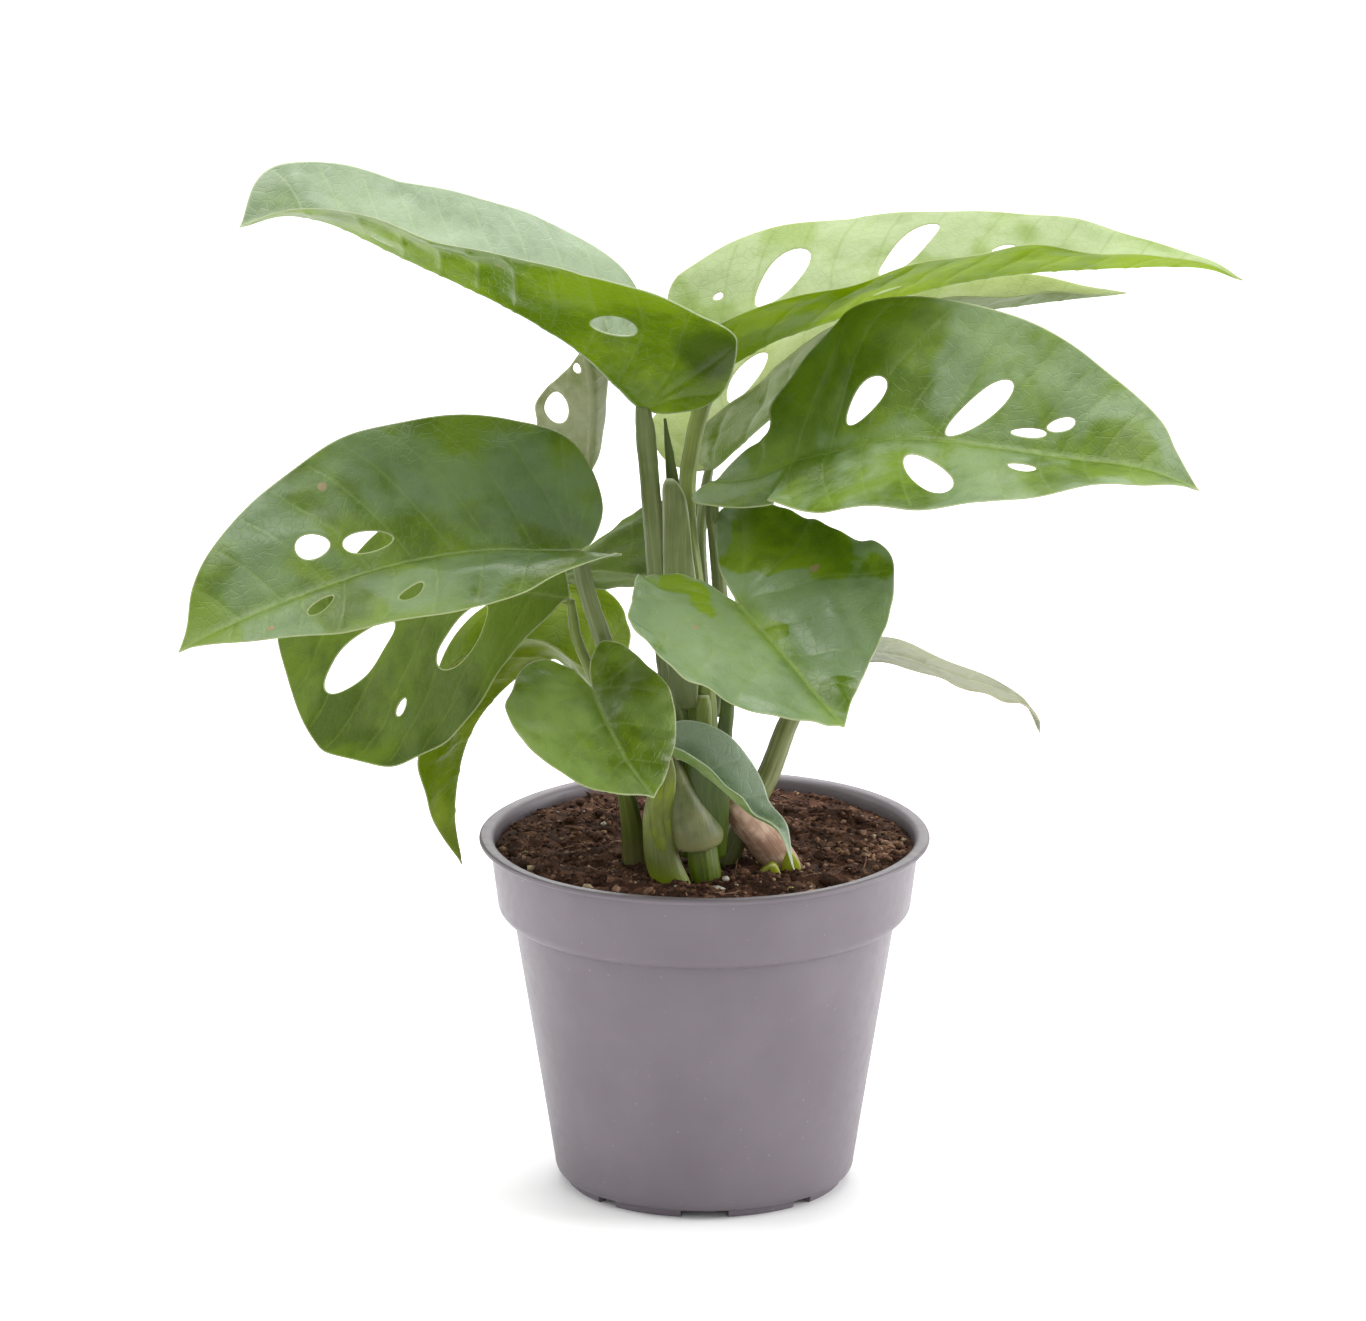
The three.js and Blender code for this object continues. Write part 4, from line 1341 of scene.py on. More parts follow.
    def drain(self, turn: float) -> tuple[Points, Faces]:
        """Returns the cutter of one drain hole at a turn in radians."""
        angles = np.linspace(0, 2 * math.pi, 32, endpoint=False)
        middle = self.drain_circle * np.array([math.cos(turn), math.sin(turn)])
        rows = [level_ring(self.drain_radius, height, angles) + (*middle, 0)
                for height in (self.foot_height - 1, self.foot_height + self.wall + 1)]
        faces = grid_faces(2, 32, True)
        faces += [tuple(reversed(range(32))), tuple(range(32, 64))]
        return np.vstack(rows), faces

    def build(self) -> bpy.types.Object:
        """Makes the pot, with its feet joined on and its drain holes cut, and returns it."""
        feet, drains = Shell(), Shell()
        for quarter in range(4):
            for start, end in self.foot_arcs:
                feet.add(*self.foot(90 * quarter + start, 90 * quarter + end))
        for number in range(self.drains):
            drains.add(*self.drain(2 * math.pi * number / self.drains))
        body = solid_mesh("pot_body", *self.lathe())
        joined = combined(body, solid_mesh("pot_feet", np.vstack(feet.points), feet.faces), "UNION")
        cut = combined(joined, solid_mesh("pot_drains", np.vstack(drains.points), drains.faces), "DIFFERENCE")
        points = np.array([tuple(vertex.co) for vertex in cut.vertices])
        faces = [tuple(polygon.vertices) for polygon in cut.polygons]
        worn = self.worn(points)
        piece = make_piece("nursery_pot", worn, faces, "pot", ["pot"])
        turn = np.arctan2(worn[:, 1], worn[:, 0])
        store(piece, "flat", worn)
        store(piece, "around", np.stack([np.cos(turn) * 8, np.sin(turn) * 8, worn[:, 2] / 60], axis=1))
        piece.modifiers.new("crisp", "EDGE_SPLIT").split_angle = math.radians(50)
        return applied(piece)

    def worn(self, points: Points) -> Points:
        """Returns the pot's points with the lip a little wavy and nicked at the right front."""
        turn = np.degrees(np.arctan2(points[:, 1], points[:, 0]))
        high = smooth((points[:, 2] - self.height + 2.5) / 2)
        moved = points.copy()
        moved[:, 2] -= high * 0.12 * (1 + np.sin(np.radians(turn) * 5 + 1))
        radius = np.hypot(points[:, 0], points[:, 1])
        on_lip = high * smooth((radius - 57) / 2)
        for place, width, depth in self.nicks:
            nick = bump_at(turn - place, width) * on_lip * depth
            moved[:, 2] -= nick
            moved[:, :2] -= points[:, :2] / radius[:, None].clip(1) * nick[:, None]
        return moved


def level_ring(radius: float, height: float, angles: Points) -> Points:
    """Returns the points of a level circle round the pot's axis at the given angles."""
    return np.stack([radius * np.cos(angles), radius * np.sin(angles), np.full(len(angles), height)], axis=1)


def solid_mesh(name: str, points: Points, faces: Faces) -> bpy.types.Mesh:
    """Returns a bare mesh, in millimetres, for a cut or a join."""
    mesh = bpy.data.meshes.new(name)
    mesh.from_pydata(np.asarray(points).tolist(), [], faces)
    return mesh


def combined(body: bpy.types.Mesh, tool: bpy.types.Mesh, operation: str) -> bpy.types.Mesh:
    """Joins one solid mesh to another, or cuts it away, and returns the result."""
    first, second = placed(body.name, body), placed(tool.name, tool)
    step = first.modifiers.new("join", "BOOLEAN")
    step.operation, step.object, step.solver = operation, second, "EXACT"
    bpy.context.view_layer.update()
    made = bpy.data.meshes.new_from_object(first.evaluated_get(bpy.context.evaluated_depsgraph_get()))
    for each in (first, second):
        bpy.data.objects.remove(each)
    return made


def applied(piece: bpy.types.Object) -> bpy.types.Object:
    """Returns a piece with its modifiers applied to its mesh."""
    bpy.context.view_layer.update()
    made = bpy.data.meshes.new_from_object(piece.evaluated_get(bpy.context.evaluated_depsgraph_get()))
    piece.modifiers.clear()
    piece.data = made
    return piece


@dataclass(frozen=True)
class Grain:
    """One larger grain of the mix that shows: its place on the surface, size, tone and stretch."""

    x: float
    y: float
    size: float
    tone: float
    stretch: float = 1.0


@dataclass(frozen=True)
class Mix(Dressed):
    """Potting mix that fills the pot: a rough crumbled top with grains, bark bits and fibres.

    Attributes:
        pot: The pot that holds it.
        edge_drop: How far below the pot's top it starts.
        crown: How much higher it is in the middle.
        step: Distance between the rings of its top.
        segments: How many points a ring has.
        clearance: Gap to the pot's wall and base.
        crumbs: How many fine crumbs lie on it.
        clods: How many coarse crumbs lie on it.
        fibres: How many root and bark fibres lie on it.
        seed: Seed of all its random draws.
        bark_heap: Place and spread of the heap of bark bits.
        bark_bits: How many bits the heap has.
        grains: Its larger grains that show.
        finish: Its finish.
    """

    pot: Pot
    edge_drop: float = 3.0
    crown: float = 1.0
    step: float = 1.15
    segments: int = 150
    clearance: float = 0.35
    crumbs: int = 3600
    clods: int = 420
    fibres: int = 150
    seed: int = 5
    bark_heap: Place = (46.0, -9.0, 12.0)
    bark_bits: int = 130
    grains: tuple[Grain, ...] = ()
    finish: MixFinish = MixFinish()

    def inner(self) -> float:
        """Returns the pot's inside radius at its band."""
        return self.pot.rim_radius - self.pot.lip_width - self.pot.wall

    def surface(self, places: Points) -> Points:
        """Returns the height of the mix at places seen from above."""
        radius = np.hypot(places[:, 0], places[:, 1])
        inner = self.inner()
        heap = 1.6 * bump_at(np.hypot(*(places - self.bark_heap[:2]).T), self.bark_heap[2])
        coarse = 0.9 * waves(places, 15.0, self.seed) + 0.55 * waves(places, 6.0, self.seed + 1)
        fine = 0.38 * waves(places, 2.6, self.seed + 2, 9)
        rim = smooth((inner - radius) / 5)
        level = self.pot.height - self.edge_drop + self.crown * (1 - (radius / inner) ** 2)
        return level + (coarse + heap) * rim + fine - 1.0 * (1 - rim)

    def ground(self, shell: Shell) -> None:
        """Adds the filled body of the mix, with its rough top, to a shell."""
        inner = self.inner() - 0.3
        angles = np.linspace(0, 2 * math.pi, self.segments, endpoint=False)
        radii = (*np.arange(self.step, inner, self.step), inner)
        flat = np.vstack([np.zeros((1, 2)), *(level_ring(radius, 0, angles)[:, :2] for radius in radii)])
        top = np.column_stack([flat, self.surface(flat)])
        lining = reversed(self.pot.outside(self.pot.wall + self.clearance))
        deep = self.pot.height - self.edge_drop - 3
        below = [level_ring(radius, height, angles) for radius, height in lining if height < deep]
        floor = self.pot.foot_height + self.pot.wall + self.clearance
        body = np.vstack([top, *below, [(0, 0, floor)]])
        count = len(radii) + len(below)
        sheet = grid_faces(count, self.segments, True)
        faces = [tuple(corner + 1 for corner in reversed(face)) for face in sheet]
        first = 1 + (count - 1) * self.segments
        for i in range(self.segments):
            after = (i + 1) % self.segments
            faces.append((0, 1 + i, 1 + after))
            faces.append((len(body) - 1, first + after, first + i))
        tone = 0.28 + 0.2 * waves(body, 5.0, self.seed + 3)
        shell.add(body, faces, flat=body, grain=np.clip(tone, 0.02, 0.6))

    def lump(self, shell: Shell, place: Points, size: float, tone: float, draw: np.random.Generator,
             stretch: float = 1.0) -> None:
        """Adds one irregular crumb to a shell.

        Args:
            shell: The shell that gets it.
            place: Its middle.
            size: Its radius.
            tone: Its place among the finish's tones, from 0 to 1.
            draw: Source of its shape.
            stretch: Its length over its width.
        """
        rough = draw.uniform(0.62, 1.2, (len(LUMP_POINTS), 1))
        knobs = LUMP_POINTS * rough * (stretch, 1.0, draw.uniform(0.5, 1.0))
        turn = draw.uniform(0, 2 * math.pi)
        tip = draw.normal(0, 0.5)
        spin = np.array(Matrix.Rotation(turn, 3, "Z") @ Matrix.Rotation(tip, 3, "X"))
        points = place + size * knobs @ spin.T
        shell.add(points, LUMP_FACES, flat=points, grain=np.full(len(points), tone))

    def fibre(self, shell: Shell, place: Points, draw: np.random.Generator) -> None:
        """Adds one thin root or bark fibre, a bent three-sided tube, to a shell."""
        heading = unit(draw.normal(size=3) * (1, 1, 0.45))
        bend = draw.normal(size=3) * 0.8
        length = draw.uniform(2.5, 8)
        steps = np.linspace(-0.5, 0.5, 7)[:, None]
        middle = place + heading * steps * length + bend * (steps**2) * 3
        across = unit(np.cross(heading, (0.3, 0.2, 1.0)))
        over = np.cross(heading, across)
        width = draw.uniform(0.1, 0.22)
        turns = (0.0, 2.1, 4.2)
        rows = [middle + width * (across * math.cos(turn) + over * math.sin(turn)) for turn in turns]
        points = np.stack(rows, axis=1).reshape(-1, 3)
        faces = grid_faces(len(steps), len(turns), True) + [(2, 1, 0), (18, 19, 20)]
        tone = draw.choice((0.82, 0.92, 0.5, 0.62))
        shell.add(points, faces, flat=points, grain=np.full(len(points), tone))

    def build(self) -> bpy.types.Object:
        """Makes the mix as one piece and returns it."""
        draw = np.random.default_rng(self.seed)
        shell = Shell()
        self.ground(shell)
        inner = self.inner()
        for count, low, high, sunk in ((self.crumbs, 0.35, 0.95, 0.1), (self.clods, 1.0, 2.1, 0.35)):
            radius = (inner - high - 0.6) * np.sqrt(draw.uniform(0, 1, count))
            turn = draw.uniform(0, 2 * math.pi, count)
            places = np.stack([radius * np.cos(turn), radius * np.sin(turn)], axis=1)
            heights = self.surface(places)
            sizes = low + (high - low) * draw.uniform(0, 1, count) ** 2
            tones = draw.uniform(0, 1, count) ** 1.25
            for place, height, size, tone in zip(places, heights, sizes, tones):
                if size > 1 and tone > 0.9:
                    tone = draw.uniform(0.2, 0.8)
                middle = np.array([*place, height - sunk * size])
                self.lump(shell, middle, size, min(tone, 0.995), draw, draw.uniform(1, 1.6))
        for _ in range(self.bark_bits):
            place = np.array(self.bark_heap[:2]) + draw.normal(0, 0.42, 2) * self.bark_heap[2]
            if np.hypot(*place) < inner - 2.5:
                height = float(self.surface(place[None])[0])
                tone = draw.choice((0.74, 0.86, 0.9, 0.95, 0.3))
                size = draw.uniform(0.5, 1.35)
                self.lump(shell, np.array([*place, height]), size, tone, draw, draw.uniform(1, 1.8))
        for grain in self.grains:
            height = float(self.surface(np.array([[grain.x, grain.y]]))[0])
            middle = np.array([grain.x, grain.y, height + 0.35 * grain.size])
            self.lump(shell, middle, grain.size, grain.tone, draw, grain.stretch)
        radius = (inner - 5) * np.sqrt(draw.uniform(0, 1, self.fibres))
        turn = draw.uniform(0, 2 * math.pi, self.fibres)
        places = np.stack([radius * np.cos(turn), radius * np.sin(turn)], axis=1)
        for place, height in zip(places, self.surface(places)):
            self.fibre(shell, np.array([*place, height + draw.uniform(0.2, 1.0)]), draw)
        return shell.piece("potting_mix", "soil", ["soil"])


def lump_shape() -> tuple[Points, Faces]:
    """Returns the points and faces of a twenty-sided lump of radius one."""
    golden = (1 + math.sqrt(5)) / 2
    corners = [(0, a, b * golden) for a in (-1, 1) for b in (-1, 1)]
    corners += [(a, b * golden, 0) for a in (-1, 1) for b in (-1, 1)]
    corners += [(b * golden, 0, a) for a in (-1, 1) for b in (-1, 1)]
    points = unit(np.array(corners, float))
    faces = []
    for i in range(12):
        for j in range(i + 1, 12):
            for k in range(j + 1, 12):
                sides = [np.linalg.norm(points[a] - points[b]) for a, b in ((i, j), (j, k), (k, i))]
                if max(sides) < 1.1:
                    turned = np.dot(np.cross(points[j] - points[i], points[k] - points[i]), points[i]) > 0
                    faces.append((i, j, k) if turned else (i, k, j))
    return points, faces


LUMP_POINTS, LUMP_FACES = lump_shape()


# Studio


@dataclass(frozen=True)
class Softbox:
    """A square soft light: where it is, where it points, its side in metres and its power in watts."""

    name: str
    place: Place
    target: Place
    side: float
    power: float


@dataclass(frozen=True)
class Studio:
    """White floor, soft lights and the camera at the photograph's angle, in metres and degrees.

    Attributes:
        floor_side: Side of the square floor.
        sky: Colour of the surroundings.
        sky_strength: Strength of their light.
        camera_place: Where the camera stands.
        camera_pitch: How far it looks down.
        focal_length: Its focal length in millimetres.
        sensor: Width of its sensor in millimetres.
        softboxes: The soft lights.
        finish: The floor's finish.
    """

    floor_side: float = 12.0
    sky: str = "#ffffff"
    sky_strength: float = 1.0
    camera_place: Place = (-0.00572, -4.3036, 1.4113)
    camera_pitch: float = 16.414
    focal_length: float = 445.7
    sensor: float = 36.0
    softboxes: tuple[Softbox, ...] = (
        Softbox("overhead", (-0.1, 0.0, 1.2), (0, 0, 0.15), 0.9, 15.0),
        Softbox("left", (-1.5, 0.2, 0.7), (0, 0, 0.15), 0.7, 6.0),
        Softbox("right", (1.5, 0.0, 0.6), (0, 0, 0.12), 0.8, 16.0),
        Softbox("back", (0.2, 1.5, 1.1), (0, 0, 0.2), 1.4, 14.0),
    )
    finish: FloorFinish = FloorFinish()

    def floor(self) -> bpy.types.Object:
        """Makes the flat floor and returns it."""
        half = self.floor_side / 2
        columns, rows = np.linspace(-half, half, 9), np.linspace(-half, half, 13)
        mesh = bpy.data.meshes.new("floor")
        points = [(x, y, 0.0) for y in rows for x in columns]
        mesh.from_pydata(points, [], grid_faces(len(rows), len(columns), False))
        floor = placed("floor", mesh)
        mesh.materials.append(self.finish.material())
        return floor

    def light(self, box: Softbox) -> None:
        """Adds one softbox."""
        lamp = bpy.data.lights.new(box.name, "AREA")
        lamp.shape, lamp.size, lamp.energy = "SQUARE", box.side, box.power
        made = placed(box.name, lamp)
        made.location = box.place
        heading = Vector(box.target) - Vector(box.place)
        made.rotation_euler = heading.to_track_quat("-Z", "Y").to_euler()

    def world(self) -> None:
        """Gives the studio its plain white surroundings."""
        world = bpy.data.worlds.new("studio")
        world.use_nodes = True
        tree = world.node_tree
        tree.nodes.clear()
        add_node(tree, Step.WORLD_END, add_node(tree, Step.SKY, self.sky, self.sky_strength))
        bpy.context.scene.world = world
        bpy.context.scene.view_settings.view_transform = "Standard"

    def camera(self) -> bpy.types.Object:
        """Makes the camera and returns it."""
        lens = bpy.data.cameras.new("camera")
        lens.lens, lens.sensor_width, lens.sensor_fit = self.focal_length, self.sensor, "HORIZONTAL"
        lens.clip_end = 50
        camera = placed("camera", lens)
        camera.location = self.camera_place
        camera.rotation_euler = (math.radians(90 - self.camera_pitch), 0, 0)
        bpy.context.scene.camera = camera
        return camera

    def build(self) -> None:
        """Makes the floor, the lights, the surroundings and the camera."""
        self.floor()
        for box in self.softboxes:
            self.light(box)
        self.world()
        self.camera()


# The plant

# The right leaf: the plain finish, deep green with a soft painted sheen
LEAF = LeafFinish("grown_leaf")
# The upper left leaf: pale green and a strong painted sheen above, painted reflection; a clear yellow green
# below, partly its own green and partly painted light coming through
LEAF_PAINTED_SHEEN = LeafFinish("grown_leaf_painted_sheen", deep="#63754e", bright="#7c8f62", painted_sheen="#9dab94",
                          painted_sheen_share=0.75, painted_sheen_from=0.36, under_deep="#5c7402", under_bright="#7c9606",
                          vein="#a8b890", margin="#c2c8a6")
# The small front leaf: brighter and with less painted sheen
LEAF_FRESH = LeafFinish("grown_leaf_fresh", deep="#4c6006", bright="#6d8414", painted_sheen="#869c62",
                        painted_sheen_share=0.45)
# The left leaf: darker and greyer, with an even painted sheen
LEAF_SOFT = LeafFinish("grown_leaf_soft", deep="#4a5e14", bright="#667c22", painted_sheen="#72866a", painted_sheen_share=0.55)
# The front leaf: a strong painted sheen with sharp edges
LEAF_FRONT = LeafFinish("grown_leaf_front", deep="#4a6204", bright="#6f880c", painted_sheen="#798c6c",
                        painted_sheen_share=0.78,
                        painted_sheen_from=0.36, painted_sheen_soft=0.06)
# The upper right leaf: lit through from behind, with that light painted in as a paler green above and a
# bright yellow green below
LEAF_BACKLIT = LeafFinish("grown_leaf_backlit", deep="#84965a", bright="#98a870", painted_sheen="#b2bd9c",
                          painted_sheen_from=0.4,
                          under_deep="#6c8600", under_bright="#92aa00", glow="#a8c010", glow_share=0.36,
                          wax=0.0, shine=0.05)
# The leaf behind it: pale yellow green, lit through
LEAF_BEHIND = LeafFinish("grown_leaf_behind", deep="#8c9a56", bright="#a0ac6e", painted_sheen="#aeb88e",
                         under_deep="#4c6004", under_bright="#7c8660", glow="#98b028", glow_share=0.3,
                         wax=0.0,
                         shine=0.1)
# The youngest open leaf: bluish green with a pale margin
LEAF_YOUNG = LeafFinish("grown_leaf_young", deep="#4c6440", bright="#728a64", painted_sheen="#a4b2a0",
                        painted_sheen_share=0.7,
                        painted_sheen_from=0.44, painted_sheen_soft=0.08, under_deep="#687c46", under_bright="#869864",
                        vein="#a2b096",
                        margin="#c2cbb4")
# The low right leaf: yellowing and dull
LEAF_FADED = LeafFinish("grown_leaf_faded", deep="#56622e", bright="#787e4c", painted_sheen="#909274",
                        under_deep="#64703c", under_bright="#868a5c", vein="#a0a078", margin="#b8ac90",
                        glow="#78843c", glow_share=0.12, wax=0.1)
# Leaves in the shade of others: painted shade, a deep green, and unwaxed
LEAF_SHADED = LeafFinish("grown_leaf_shaded", deep="#3c4e04", bright="#546a0c", painted_sheen="#647634",
                         painted_sheen_share=0.35, under_deep="#4e6206", under_bright="#6a7e18", vein="#6e7f30",
                         glow="#84a40c", glow_share=0.26, roughness=0.48, wax=0.0,
                         shine=0.15)
# The hanging leaf: lit through, with that light painted in as a brighter yellow green
LEAF_TRAILING = LeafFinish("grown_leaf_trailing", deep="#607406", bright="#7d9214", painted_sheen="#8a9c4c",
                           painted_sheen_share=0.4, under_deep="#60740c", under_bright="#82942a", vein="#8a9a44",
                           glow="#a0b820", wax=0.0, shine=0.15)
# The pale leaf behind: greyish green
LEAF_PALE = LeafFinish("grown_leaf_pale", deep="#68743c", bright="#8c9466", painted_sheen="#a3a58a",
                       under_deep="#7c8452", under_bright="#a2a684", vein="#b0b290", glow="#8a9844", wax=0.0)

# Grown petioles: satin grey green
STALK = StalkFinish("grown_stalk", base="#55612f", light="#717c4c", foot="#4a5626", edge="#a5ab88")
# Petioles in full light: painted light, a yellower green
STALK_YELLOW = StalkFinish("grown_stalk_yellow", base="#66752f", light="#7f8c48", foot="#5a6828",
                           edge="#a5ab88")
# Petioles in the shade: painted shade, a dark green
STALK_DARK = StalkFinish("grown_stalk_dark", base="#34440a", light="#4c5e18", foot="#42560a", edge="#7e8e4c")
# The petiole that browns towards its foot
STALK_BROWNED = StalkFinish("grown_stalk_browned", base="#48521a", light="#5f6830", foot="#6c6440")
# The main stem: bright olive green
STEM = StalkFinish("grown_stem", base="#3f4e0e", light="#74881c", foot="#60740c")
# The petiole of the yellowing leaf
STALK_PALE = StalkFinish("grown_stalk_pale", base="#686e3c", light="#8a8e66", foot="#565c2c")
# The sheath round the stem: dull green with a pale foot
SHEATH = StalkFinish("grown_sheath", base="#444e20", light="#5c6436", foot="#8c8a60", edge="#8f9a66")
# The sheath in front of it: olive with a yellow-green foot
SHEATH_FOOT = StalkFinish("grown_sheath_foot", base="#535c1c", light="#6a7238", foot="#7c8e06",
                          edge="#a4ac74")
# The cut stub: yellow green and dry
STUB = StalkFinish("cut_stub", base="#919c10", light="#abae30", foot="#7e8c0c", edge="#c9c48a", roughness=0.6)
# The old stem: pinkish brown cork
WOOD = BarkFinish("corky_old_stem")
# The dried sheath: pale brown paper
DRIED = BarkFinish("dried_sheath_paper", base="#a4937a", light="#c2b59c", dark="#83705a")


SMALL_LEAF = {"quilt": 0.3, "wave": 0.4, "ruffle": 0.3, "pucker": 0.15, "thickness": 0.42, "rib_depth": 0.8}

